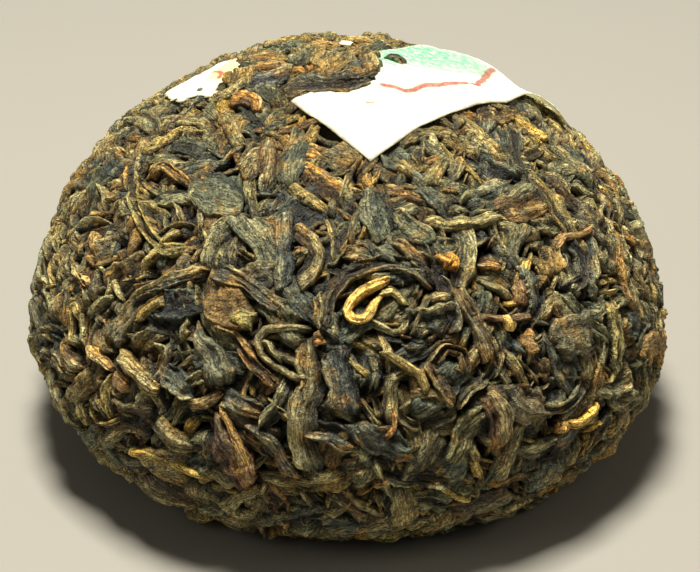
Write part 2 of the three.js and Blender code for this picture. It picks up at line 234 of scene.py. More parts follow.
def mesh_piece(name, points, loops, starts, material):
    """A smooth mesh object from points in mm, each face a run of loops that begins at a start."""
    mesh = bpy.data.meshes.new(name)
    mesh.vertices.add(len(points))
    mesh.vertices.foreach_set("co", (points * MM).astype(np.float32).ravel())
    mesh.loops.add(len(loops))
    mesh.loops.foreach_set("vertex_index", loops.astype(np.int32))
    mesh.polygons.add(len(starts))
    mesh.polygons.foreach_set("loop_start", starts.astype(np.int32))
    mesh.polygons.foreach_set("use_smooth", np.ones(len(starts), bool))
    mesh.update(calc_edges=True)
    mesh.validate()
    mesh.materials.append(material)
    piece = bpy.data.objects.new(name, mesh)
    bpy.context.scene.collection.objects.link(piece)
    return piece


skin = Skin(half_outline(), CELL, -BED_DEPTH)
rough = lattice(11)

# Pressed tea dust: matt, near black-brown, partly its own dark and partly painted shade of the
# gaps, with paler broken bits about a millimetre across and a grit half as coarse.
dust = bpy.data.materials.new("pressed_tea_dust")
dust.use_nodes = True
tree = dust.node_tree
shader = tree.nodes["Principled BSDF"]
shader.inputs["Roughness"].default_value = 0.9
shader.inputs["Specular IOR Level"].default_value = 0.25
place = add_node(tree, "TexCoord").outputs["Object"]
bits = add_node(tree, "TexNoise", Vector=place, Scale=900.0, Detail=5.0, Roughness=0.6)
shade = add_node(tree, "ValToRGB", Fac=bits.outputs["Fac"])
tones = [(0.35, "#0a0806"), (0.72, "#2a2114")]
for element, (position, hex_colour) in zip(shade.color_ramp.elements, tones):
    element.position = position
    element.color = linear(hex_colour)
tree.links.new(shade.outputs["Color"], shader.inputs["Base Color"])
grit = add_node(tree, "TexNoise", Vector=place, Scale=2200.0, Detail=4.0)
relief = add_node(tree, "Bump", Strength=0.6, Distance=0.2 * MM, Height=grit.outputs["Fac"])
tree.links.new(relief.outputs["Normal"], shader.inputs["Normal"])

core_s = np.linspace(0, skin.length, CORE_RINGS + 2)[1:-1]
core_turn = np.arange(CORE_SPOKES) / CORE_SPOKES * 2 * math.pi
place_s, place_turn = np.meshgrid(core_s, core_turn, indexing="ij")
core_points, _, core_out = skin.frame(place_s, place_turn)
lift = sum((rise * rough(core_points + shift, width) for rise, width, shift in CORE_LUMPS), -CORE_DEPTH)
core_points += core_out * lift[..., None]
core_points[..., 2] = np.maximum(core_points[..., 2], CORE_FLOOR)
poles = np.array([[0, 0, CROWN_HEIGHT - CORE_DEPTH], [0, 0, HOLLOW_DEPTH + CORE_DEPTH]])
ring, spoke = np.meshgrid(np.arange(CORE_RINGS - 1), np.arange(CORE_SPOKES), indexing="ij")
after = (spoke + 1) % CORE_SPOKES
quads = np.stack([ring * CORE_SPOKES + spoke, (ring + 1) * CORE_SPOKES + spoke,
                  (ring + 1) * CORE_SPOKES + after, ring * CORE_SPOKES + after], -1).reshape(-1, 4)
spoke = np.arange(CORE_SPOKES)
after = (spoke + 1) % CORE_SPOKES
last_ring = (CORE_RINGS - 1) * CORE_SPOKES
crown_pole = CORE_RINGS * CORE_SPOKES
roof_pole = crown_pole + 1
fans = np.concatenate([
    np.stack([np.full(CORE_SPOKES, crown_pole), spoke, after], 1),
    np.stack([np.full(CORE_SPOKES, roof_pole), last_ring + after, last_ring + spoke], 1)])
core_loops = np.concatenate([quads.ravel(), fans.ravel()])
core_starts = np.concatenate([np.arange(len(quads)) * 4, len(quads) * 4 + np.arange(len(fans)) * 3])
tea_core = mesh_piece("tea_core", lean_over(np.concatenate([core_points.reshape(-1, 3), poles])),
                      core_loops, core_starts, dust)
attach(tea_core, "root")
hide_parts("tea_cake")


# ---- Pressing the leaves ----
# Large-leaf tea, rolled and withered into wiry strips, steamed until limp and pressed while
# hot: each leaf bends over what lies under it, and the bag flattens what stands out.

SEED = 20
random = np.random.default_rng(SEED)

# For each kind of leaf, lengths in mm as (least, most): length, half width, thickness, the
# taper at an end, and the share of the width left at its tip. turn is how fast the midline
# turns in radians per mm as (steady, wandering), folds how many grooves run along it, plump
# how round its section is, and limp how closely it takes the shape of what is under it.
# ragged is the share of its width that its edges wander by, groove and wrinkle the depth of
# its relief in mm, and stiff the length in mm that it bends over.
KINDS = {
    "strip": dict(length=(5, 12), half=(0.8, 1.35), thick=(0.55, 0.85), taper=(0.3, 2.6), tip=(0.3, 1.0),
                  turn=(0.04, 0.17), folds=(3, 5), plump=0.1, limp=0.4,
                  ragged=0.19, groove=0.22, wrinkle=0.16, stiff=0.8,
                  colours=["#5c563a", "#6b6242", "#4a4632", "#7a683f", "#3f4034", "#5c4426", "#8c6a34",
                           "#57543c"]),
    "ribbon": dict(length=(4, 10), half=(1.0, 1.7), thick=(0.45, 0.7), taper=(0.3, 2.6), tip=(0.3, 1.0),
                   turn=(0.03, 0.14), folds=(2, 5), plump=0.0, limp=0.6,
                   ragged=0.22, groove=0.22, wrinkle=0.16, stiff=0.8,
                   colours=["#474a3c", "#5d5a40", "#3b4039", "#6b6240", "#5a4428", "#6d5c36", "#53523e"]),
    "twist": dict(length=(5, 11), half=(0.5, 0.9), thick=(0.7, 1.05), taper=(0.4, 3.0), tip=(0.35, 0.9),
                  turn=(0.06, 0.24), folds=(2, 4), plump=0.2, limp=0.355,
                  ragged=0.19, groove=0.22, wrinkle=0.16, stiff=0.8,
                  colours=["#5f5233", "#7a6a40", "#4b4530", "#82703f", "#403b2a", "#80602f"]),
    "blade": dict(length=(4, 9), half=(1.5, 2.5), thick=(0.45, 0.65), taper=(0.4, 2.8), tip=(0.4, 1.0),
                  turn=(0.03, 0.12), folds=(2, 4), plump=0.0, limp=0.75,
                  ragged=0.22, groove=0.19, wrinkle=0.22, stiff=0.8,
                  colours=["#3e443c", "#4c4f3e", "#393d36", "#5d553b", "#6a5834", "#4c3c28", "#505340"]),
    "curl": dict(length=(6, 12), half=(0.55, 1.0), thick=(0.65, 1.0), taper=(0.4, 2.6), tip=(0.4, 0.9),
                 turn=(0.4, 0.15), folds=(2, 4), plump=0.25, limp=0.3,
                 ragged=0.19, groove=0.22, wrinkle=0.16, stiff=0.8,
                 colours=["#6a6040", "#7c7048", "#544a30", "#857548", "#494634"]),
    "stem": dict(length=(4, 10), half=(0.3, 0.55), thick=(0.65, 0.95), taper=(0.3, 1.0), tip=(0.6, 0.9),
                 turn=(0.04, 0.2), folds=(1, 2), plump=0.8, limp=0.15,
                 ragged=0.19, groove=0.08, wrinkle=0.07, stiff=1.4,
                 colours=["#7a6a40", "#5d4a2c", "#8b7a49", "#634a2a", "#4f4a34"]),
    "bud": dict(length=(4, 8), half=(0.55, 0.9), thick=(0.7, 1.0), taper=(1.0, 3.5), tip=(0.2, 0.5),
                turn=(0.15, 0.25), folds=(3, 4), plump=0.15, limp=0.3,
                ragged=0.19, groove=0.17, wrinkle=0.07, stiff=1.4,
                colours=["#a98a42", "#b8923f", "#8d7336", "#9a7a38", "#a0782e"]),
    "chip": dict(length=(3, 6), half=(1.2, 2.2), thick=(0.5, 0.8), taper=(0.4, 2.0), tip=(0.4, 1.0),
                 turn=(0.02, 0.1), folds=(0, 2), plump=0.1, limp=0.55,
                 ragged=0.5, groove=0.22, wrinkle=0.32, stiff=0.8,
                 colours=["#6e5630", "#7c6236", "#5a4a2e", "#665c3e"]),
    "crumb": dict(length=(1.6, 4.0), half=(0.35, 0.85), thick=(0.4, 0.75), taper=(0.2, 1.6), tip=(0.2, 1.0),
                  turn=(0.05, 0.3), folds=(1, 2), plump=0.0, limp=0.45,
                  ragged=0.28, groove=0.22, wrinkle=0.26, stiff=0.8,
                  colours=["#5c5234", "#74653c", "#45402f", "#8b7440", "#3a3e36", "#7d5a30", "#675838"]),
}

# The layers in the order they are pressed on: rounds, leaves in a round, the kinds' shares,
# stations along a leaf, points across, sizes as shares of the length range, swelling, places
# tried for each, and whether the hollow gets them as well.
MIXED = {"strip": 0.22, "ribbon": 0.23, "twist": 0.10, "blade": 0.20, "curl": 0.08, "stem": 0.09,
         "bud": 0.03, "chip": 0.05}
CRUMBS = {"crumb": 1.0}
LAYERS = [
    (1, 1100, MIXED, 8, 6, (0.3, 1.0), 1.35, 5, True),
    (1, 1000, MIXED, 12, 8, (0.1, 1.0), 1.1, 8, True),
    (6, 110, MIXED, 15, 11, (0.0, 0.45), 1.0, 12, False),
    (6, 75, MIXED, 26, 13, (0.45, 1.0), 1.0, 9, False),
    (6, 70, CRUMBS, 7, 6, (0.4, 1.0), 1.0, 30, False),
    (6, 190, CRUMBS, 5, 5, (0.0, 0.4), 0.75, 40, False),
]

# How a leaf lies, in mm or as shares of its thickness
SINK = 0.2                 # share that it presses into what is under it
CREST_SINK = 0.7           # share that the highest leaf under it may stand up into it
TILT_KEPT = 0.65           # share of the slope under it that it takes
TILT_REACH = 1.2           # length that this slope is averaged over
TILT_CHANCE = 0.12         # share that it leans by besides
DRAPE_REACH = 0.6          # length that the bumps it drapes over are averaged over
END_SLANT = 1.1            # how askew its ends are, as a share of its half width
TUCK_REACH = (0.7, 2.2)    # length of an end that goes down between the others
TUCK_DEPTH = (0.3, 1.5)    # share that the end goes down
SHOWS_BELOW = 0.12         # depth below what is there that a point of it still shows at
PRESS_LIMIT = 0.5          # height over the skin that leaf tops are flattened at
PRESS_SOFTNESS = 0.14      # how gradually they are
CROWN_PRESS = 0.3          # how much lower that is on the crown, where the stone bears
CROWN_SMOOTH = 0.4         # share of a leaf's relief that is pressed out there
CROWN_END = 32             # where that ends, along the skin from the top
CROWN_FADE = 20            # length that it fades out over
WARM_CROWN = 20            # leaves nearer than this to the top are a little browner
WARM_SHARE = 0.9
EDGE_WEAR_AND_LIGHT = 0.12           # one edge of a leaf is paler, worn and with a painted highlight, as if it stood this much higher and the other is darker with a painted shadow, by this many times as much
EDGE_SHADE = 2.2           # and the other is darker, by this many times as much
HOLLOW_SPAN = 30           # length of the hollow, which only the lower layers reach
RIM_FROM = 48              # where leaves begin to lie along the rim, and the length that
RIM_FADE = 20              # this sets in over
RIM_SHARE = 0.5            # share of the leaves there that do
RIM_SPREAD = 0.35          # radians that they still differ by
HOOK_FROM = 0.45           # share of a curl's length where it turns over
COVERED = 100.0            # counts as this high, so that no later leaf is laid there


def wander(count, stations, knots):
    """Smooth random lines with values in -1..1: one row each."""
    values = random.uniform(-1, 1, (count, knots))
    at = np.linspace(0, knots - 1.001, stations)
    low = at.astype(int)
    t = at - low
    t = t * t * (3 - 2 * t)
    return values[:, low] * (1 - t) + values[:, low + 1] * t


def jagged(count, stations, knots):
    """Random lines with corners, with values in -1..1: one row each."""
    values = random.uniform(-1, 1, (count, knots))
    at = np.linspace(0, knots - 1, stations)
    return np.stack([np.interp(at, np.arange(knots), row) for row in values])


def stations_of(count):
    """Shares of a leaf's length, closer together towards its ends."""
    even = np.linspace(0, 1, count)
    return 0.7 * even + 0.3 * (0.5 - 0.5 * np.cos(math.pi * even))


def section_of(count):
    """Shares of the half width across a leaf, closer together towards its edges."""
    even = np.linspace(1, -1, count)
    return 0.55 * even + 0.45 * np.sin(0.5 * math.pi * even)


def folded(x, along, drift, count, depth):
    """Grooves along a leaf, in mm: the side of each that lies on the other stands higher."""
    relief = np.zeros(np.broadcast_shapes(x.shape, along.shape))
    for number in range(count):
        middle = 1.7 * (number + random.uniform(0.2, 0.8)) / count - 0.85
        swing = random.uniform(-0.3, 0.3) * drift
        middle = middle + swing + random.uniform(-0.08, 0.08) * (along - along.mean())
        off = (x - middle) / random.uniform(0.09, 0.17)
        relief = relief - depth * random.uniform(0.3, 1.1) * np.exp(-off * off)
        relief = relief + depth * random.choice([-1, 1]) * random.uniform(0.3, 1.0) * np.tanh(1.6 * off)
    return relief


def leaf_form(kind, length, half, share, xi):
    """Where a leaf's points lie across it in mm, the height of its body as a share of its
    thickness, and the height in mm of the folds and wrinkles on it."""
    spec = KINDS[kind]
    count = len(share)
    # the outline: round or blunt ends, and two uneven edges
    ends = 1.0
    for reach in (share * length, (1 - share) * length):
        taper = min(random.uniform(*spec["taper"]), 0.6 * length)
        tip = random.uniform(*spec["tip"])
        u = np.clip(reach / taper, 0, 1)
        ends = ends * (tip + (1 - tip) * np.sqrt(1 - (1 - u) ** 2))
    notches = max(4, int(length / 1.3))
    nicks = max(5, int(length / 0.5))
    edges = ends * (1 + spec["ragged"] * jagged(2, count, notches))
    edges *= 1 + 0.24 * wander(2, count, 3) + 0.7 * spec["ragged"] * jagged(2, count, nicks)
    x = xi[None, :]
    across = x * (0.5 * (edges[0] + edges[1])[:, None] + 0.5 * (edges[0] - edges[1])[:, None] * x)
    along = (share * length)[:, None]
    drift = wander(1, count, max(3, int(length / 2.0)))[0][:, None]
    # waves of 1.4 mm, sharp creases 0.9 mm apart and a grain of 0.45 mm
    spot = np.stack(np.broadcast_arrays(0.8 * along, 1.3 * x * half, random.uniform(0, 90)), -1)
    crumple = 0.4 * rough(spot, 1.4) + 0.8 * (0.3 - np.abs(rough(spot + 40, 0.9)))
    crumple = crumple + 0.5 * rough(spot + 9, 0.45)
    # the section, between flat with blunt edges and round
    flat = np.clip(1 - np.abs(x) ** random.uniform(7, 18), 0, 1) ** 0.5
    rounded = np.sqrt(np.clip(1 - 0.96 * x ** 2, 0, 1))
    plump = np.clip(spec["plump"] + random.uniform(-0.15, 0.15), 0, 1)
    body = flat * (1 - plump) + rounded * plump
    folds = random.integers(spec["folds"][0], spec["folds"][1] + 1)
    relief = folded(x, along, drift, folds, spec["groove"])
    relief = relief + spec["wrinkle"] * crumple
    if kind == "chip":
        relief = relief + 0.12 * rough(spot + 77, 0.5) + 0.08 * rough(spot + 60, 0.3)
    if kind in ("blade", "ribbon"):
        # one edge is rolled in
        hem = random.choice([-1, 1])
        relief = relief + random.uniform(0.0, 0.4) * np.exp(-((x - 0.74 * hem + 0.06 * drift) / 0.2) ** 2)
    if kind == "twist":
        # its seam winds round it
        phase = random.uniform(0, 1) + random.choice([-1, 1]) * random.uniform(0.12, 0.3) * along
        relief = relief + 0.18 * (np.abs(np.sin(math.pi * (0.5 * x + phase))) - 0.6)
    relief = relief * np.clip(4.5 * (1 - np.abs(x)), 0, 1) ** 0.7
    tip_rise = np.clip(np.minimum(share, 1 - share) * length / 0.5, 0, 1)[:, None]
    body = 0.95 * body * (0.7 + 0.3 * tip_rise) + 0.08 * drift - 0.35 * np.abs(x) ** 14
    return across * half, body, relief


def smooth_along(values, share, length, reach):
    """Averages values along a leaf over a reach in mm."""
    gap = (share[:, None] - share[None, :]) * length / reach
    weight = np.exp(-gap * gap)
    return (weight / weight.sum(1, keepdims=True)) @ values


pressed = []
covered = np.zeros(len(skin.height), bool)    # cells that a paper slip lies over


def press(kind, s, turn, way, length, half, thick, colour, points, limit=PRESS_LIMIT, sink=SINK, tuck=1.0):
    """Lays one leaf, so many points across, on what is already there, and keeps its shape and
    colour. tuck is how much of the usual depth its ends go down by."""
    share = stations_of(len(s))
    xi = section_of(points)
    across, body, relief = leaf_form(kind, length, half, share, xi)
    _, _, out = skin.frame(s, turn)
    side = np.cross(out, way)
    slant = random.uniform(-END_SLANT, END_SLANT, 2)
    skew = (slant[0] * (1 - share) ** 6 + slant[1] * share ** 6)[:, None] * across
    shift = side[:, None, :] * across[..., None] + way[:, None, :] * skew[..., None]
    place_s, place_turn = skin.move(s[:, None], turn[:, None], shift)
    cells = skin.cells(place_s, place_turn)
    under = skin.height[cells]
    # what it lies on: the level, the slope across and the bumps
    stiff = KINDS[kind]["stiff"]
    level = smooth_along(under[:, 1:-1].mean(1), share, length, stiff)
    crest = smooth_along(under.max(1), share, length, stiff)
    base = np.maximum(level, crest - CREST_SINK * thick) - sink * thick
    spread = (xi ** 2).sum()
    tilt = (under * xi).sum(1) / spread
    tilt = (TILT_KEPT * smooth_along(tilt, share, length, TILT_REACH)
            + TILT_CHANCE * thick * random.uniform(-1, 1))
    drape = smooth_along(under, share, length, DRAPE_REACH)
    drape = drape - drape.mean(1, keepdims=True) - (drape * xi).sum(1, keepdims=True) / spread * xi
    for from_end in (share * length, (1 - share) * length):
        reach = min(random.uniform(*TUCK_REACH), 0.35 * length)
        near = 1 - np.clip(from_end / reach, 0, 1)
        base = base - tuck * thick * random.uniform(*TUCK_DEPTH) * near * near * (3 - 2 * near)
    height = base[:, None] + tilt[:, None] * xi + KINDS[kind]["limp"] * drape + thick * body
    # the bag flattens it, and most on the crown
    on_crown = np.clip(CROWN_END / CROWN_FADE - s / CROWN_FADE, 0, 1)[:, None]
    limit = limit - CROWN_PRESS * on_crown
    relief = relief * (1 - CROWN_SMOOTH * on_crown)
    height = limit - PRESS_SOFTNESS * np.log1p(np.exp((limit - height) / PRESS_SOFTNESS)) + relief
    wins = height > under - SHOWS_BELOW
    skin.height[cells] = np.maximum(skin.height[cells], height)
    middle_s = 0.5 * (place_s[1:] + place_s[:-1])
    middle_turn = np.angle(np.exp(1j * place_turn[1:]) + np.exp(1j * place_turn[:-1]))
    between = skin.cells(middle_s, middle_turn)
    skin.height[between] = np.maximum(skin.height[between], 0.5 * (height[1:] + height[:-1]))
    # painted light and shade: one edge of the leaf, picked at random, is paler and the other darker
    rubbed_and_lit = random.choice([-1, 1]) * xi
    worn_and_lit = (EDGE_WEAR_AND_LIGHT * np.clip(rubbed_and_lit, 0, 1) ** 4
            - EDGE_SHADE * EDGE_WEAR_AND_LIGHT * np.clip(-rubbed_and_lit, 0, 1) ** 10)
    pressed.append(dict(kind=kind, s=place_s, turn=place_turn, height=height, base=base, across=across,
                        along=share * length, ridge=relief + worn_and_lit, colour=colour, thick=thick,
                        cells=cells, wins=wins))


def leaf_batch(count, shares, stations, points, sizes, swell, tries, in_hollow):
    """Presses on many leaves of all kinds, each on the lowest of the places tried for it."""
    chances = np.array(list(shares.values())) / sum(shares.values())
    kinds = random.choice(list(shares), size=count, p=chances)
    size = random.uniform(*sizes, count)
    steps_share = np.diff(stations_of(stations))
    ranges = np.array([KINDS[kind]["length"] + KINDS[kind]["half"] + KINDS[kind]["thick"] for kind in kinds])
    lengths = ranges[:, 0] + (ranges[:, 1] - ranges[:, 0]) * size
    halves = random.uniform(ranges[:, 2], ranges[:, 3]) * (0.85 + 0.3 * size) * swell
    thicks = random.uniform(ranges[:, 4], ranges[:, 5]) * swell
    steady, loose = np.array([KINDS[kind]["turn"] for kind in kinds]).T
    steady = steady * random.choice([-1, 1], count) * random.uniform(0.2, 1.2, count)
    # a place's chance is even over the skin's area
    spots = np.arange(0.5, skin.length, 0.5)
    chance = np.interp(spots, skin.run, skin.r) * ((spots < skin.length - HOLLOW_SPAN) | in_hollow)
    shape = (count, tries)
    start_s = random.choice(spots, size=shape, p=chance / chance.sum()) + random.uniform(-0.25, 0.25, shape)
    start_turn = random.uniform(-math.pi, math.pi, shape)
    heading = random.uniform(-math.pi, math.pi, shape)
    # near the rim and foot the leaves lie more along the rim
    rim = np.clip((start_s - RIM_FROM) / RIM_FADE, 0, 1) * RIM_SHARE
    turned = random.random(shape) < rim
    rimward = np.sign(heading) * math.pi / 2 + random.normal(0, RIM_SPREAD, shape)
    heading = np.where(turned, rimward, heading)
    steps = np.repeat(lengths, tries)[:, None] * steps_share[None, :]
    bends = np.repeat(steady, tries)[:, None]
    bends = bends + np.repeat(loose, tries)[:, None] * wander(count * tries, len(steps_share), 5)
    hooked = np.repeat(kinds == "curl", tries)[:, None]
    late = np.arange(len(steps_share)) > HOOK_FROM * len(steps_share)
    bends = np.where(hooked, bends * (0.15 + 1.25 * late), bends)
    s, turn, way = skin.walk(start_s.ravel(), start_turn.ravel(), heading.ravel(), steps, bends)
    on_way = skin.cells(s, turn).reshape(count, tries, -1)
    s = s.reshape(count, tries, -1)
    turn = turn.reshape(count, tries, -1)
    way = way.reshape(count, tries, -1, 3)
    for i in range(count):
        level = skin.height[on_way[i]].mean(1) + COVERED * covered[on_way[i]].any(1)
        best = int(level.argmin())
        if level[best] > COVERED / 2:
            continue
        palette = KINDS[kinds[i]]["colours"]
        colour = np.array(linear(palette[random.integers(len(palette))])[:3]) * random.uniform(1.0, 1.55)
        warmth = random.uniform(-1, 1) + WARM_SHARE * (s[i, best].mean() < WARM_CROWN)
        colour = colour * [1 + 0.12 * warmth, 1.04, 0.92 - 0.24 * warmth]
        press(kinds[i], s[i, best], turn[i, best], way[i, best], lengths[i], halves[i], thicks[i],
              colour, points)


# The slips of paper go in before the last leaves. Their outlines are plan places in mm, seen
# from above with -Y towards the viewer, tucked is the edge that tea lies over, lifts are ends
# that stand off as (x, y, rise, reach), and torn is how rough the edge is.
SLIPS = {
    "paper_ticket": dict(
        outline=[(2.6, -18.9), (9.7, -11.6), (14.1, -6.4), (18.2, -1.4), (20.2, 0.3), (22.3, 3.6),
                 (24.8, 6.0), (27.4, 6.2), (28.9, 6.4), (27.6, 9.5), (24.0, 13.2), (19.4, 17.0),
                 (14.5, 16.6), (10.1, 12.2), (6.0, 8.2), (3.0, 5.2), (2.3, 0.6), (3.4, -4.6),
                 (-0.3, -7.2), (-4.4, -7.6), (-7.0, -9.9), (-2.3, -14.2)],
        tucked=[(5.0, 7.4), (3.2, 4.9), (2.9, 0.7), (4.0, -5.0), (0.0, -8.0), (-3.6, -8.3)],
        lifts=[(22.3, 3.4, 0.9, 2.6), (26.0, 5.4, 1.5, 3.0), (-6.9, -9.8, 0.9, 1.6), (9.5, 11.5, 0.4, 3.0),
               (14.0, 14.5, 0.55, 4.0), (19.5, 15.0, 0.55, 4.5), (25.5, 10.5, 0.3, 4.0)], torn=0.012),
    "paper_scrap": dict(
        outline=[(-24.0, 6.3), (-23.2, 2.4), (-21.4, -0.4), (-19.3, -1.0), (-17.1, -2.5), (-16.9, 0.1),
                 (-15.4, 1.0), (-14.1, 2.9), (-14.8, 8.4), (-17.1, 10.6), (-19.5, 7.6)],
        tucked=[(-21.4, -0.6), (-17.0, -2.0), (-15.4, 0.8), (-14.2, 3.2), (-14.8, 8.2)],
        lifts=[(-24.0, 4.5, 0.25, 2.0)], torn=0.3),
    "paper_speck": dict(
        outline=[(0.5, 8.0), (0.1, 9.4), (-0.8, 9.6), (-1.3, 8.1), (-0.9, 6.6), (0.1, 6.4)],
        tucked=[], lifts=[], torn=0.15),
}
SLIP_SPAN = 56             # of the dome that slips lie on, along the skin from the top
SLIP_RISE = 0.28           # of a slip over the mean height of the leaves under it
SLIP_REACHES = (0.6, 1.2, 1.8, 2.4)   # radii that this mean is taken over
SLIP_SIDES = 12            # directions from each place that it is taken in
TUCKED_WIDTH = 0.75        # strip along a tucked edge that tea may lie over
CLEAR_OF_SLIP = 1.3        # the midline of a later leaf keeps this far from a slip's open edge
FROM_TUCKED = 2.0          # which begins this far from the tucked one
HELD_WIDTH = 0.7           # leaves under a slip are pushed down this far out from its edge
HELD_FROM_TUCKED = 1.2     # but for this far from the tucked one
HELD_LIFT = 0.2            # height over a lifted end's bed that they are pushed down to
slip_heights = {}


def inside_outline(x, y, outline):
    """Whether plan places are inside an outline."""
    hit = np.zeros(np.shape(x), bool)
    for (ax, ay), (bx, by) in zip(outline, outline[1:] + outline[:1]):
        crosses = (ay > y) != (by > y)
        hit ^= crosses & (x < (bx - ax) * (y - ay) / ((by - ay) if by != ay else 1e-9) + ax)
    return hit


def from_line(x, y, line):
    """Distance of plan places from a line through the given points."""
    nearest = np.full(np.shape(x), 1e3)
    for (ax, ay), (bx, by) in zip(line, line[1:]):
        squared = (bx - ax) ** 2 + (by - ay) ** 2
        share = np.clip(((x - ax) * (bx - ax) + (y - ay) * (by - ay)) / squared, 0, 1)
        nearest = np.minimum(nearest, np.hypot(x - ax - share * (bx - ax), y - ay - share * (by - ay)))
    return nearest


def on_dome(x, y):
    """The place on the skin that is seen at a plan place of the leaning cake."""
    z = np.full(np.shape(x), CROWN_HEIGHT)
    outside = skin.run < DOME_SPAN
    for _ in range(8):
        upright = x + LEAN * (z - LEAN_FROM)
        s = np.interp(np.hypot(upright, y), skin.r[outside], skin.run[outside])
        z = np.interp(s, skin.run, skin.z)
    return s, np.arctan2(y, upright)


def slip_height(x, y, lifts, around_height):
    """How high a slip lies: over the leaves as they are, with its ripples and lifted ends."""
    total = np.zeros(np.shape(x))
    for reach in SLIP_REACHES:
        for k in range(SLIP_SIDES):
            angle = (k + reach) * 2 * math.pi / SLIP_SIDES
            near_x, near_y = x + reach * math.cos(angle), y + reach * math.sin(angle)
            total += around_height[skin.cells(*on_dome(near_x, near_y))]
    spot = np.stack([x, y, np.full(np.shape(x), 3.0)], -1)
    mean = total / (SLIP_SIDES * len(SLIP_REACHES))
    height = mean + SLIP_RISE + 0.16 * rough(spot, 4.3) + 0.07 * rough(spot + 20, 2.1)
    for lift_x, lift_y, rise, reach in lifts:
        height = height + rise * np.exp(-((x - lift_x) ** 2 + (y - lift_y) ** 2) / reach ** 2)
    return height


def lay_slips():
    """Lays the slips over the leaves pressed on so far."""
    before = skin.height.copy()
    s, turn = skin.cell_places()
    point, _, _ = skin.frame(s, turn)
    x, y = point[:, 0] - LEAN * (point[:, 2] - LEAN_FROM), point[:, 1]
    on_dome_top = s < SLIP_SPAN
    for name, slip in SLIPS.items():
        rim = from_line(x, y, slip["outline"] + slip["outline"][:1])
        tucked = from_line(x, y, slip["tucked"])
        inside = on_dome_top & inside_outline(x, y, slip["outline"])
        near = np.flatnonzero(inside)
        slip_heights[name] = before
        skin.height[near] = slip_height(x[near], y[near], [], before)
        covered[near[tucked[near] > TUCKED_WIDTH]] = True
        covered[on_dome_top & (rim < CLEAR_OF_SLIP) & (tucked > FROM_TUCKED)] = True
        held = np.flatnonzero(inside | (on_dome_top & (rim < HELD_WIDTH) & (tucked > HELD_FROM_TUCKED)))
        heights = np.minimum(slip_height(x[held], y[held], slip["lifts"], before),
                             slip_height(x[held], y[held], [], before) + HELD_LIFT)
        pressed.append(dict(kind="slip", cells=held, height=heights))


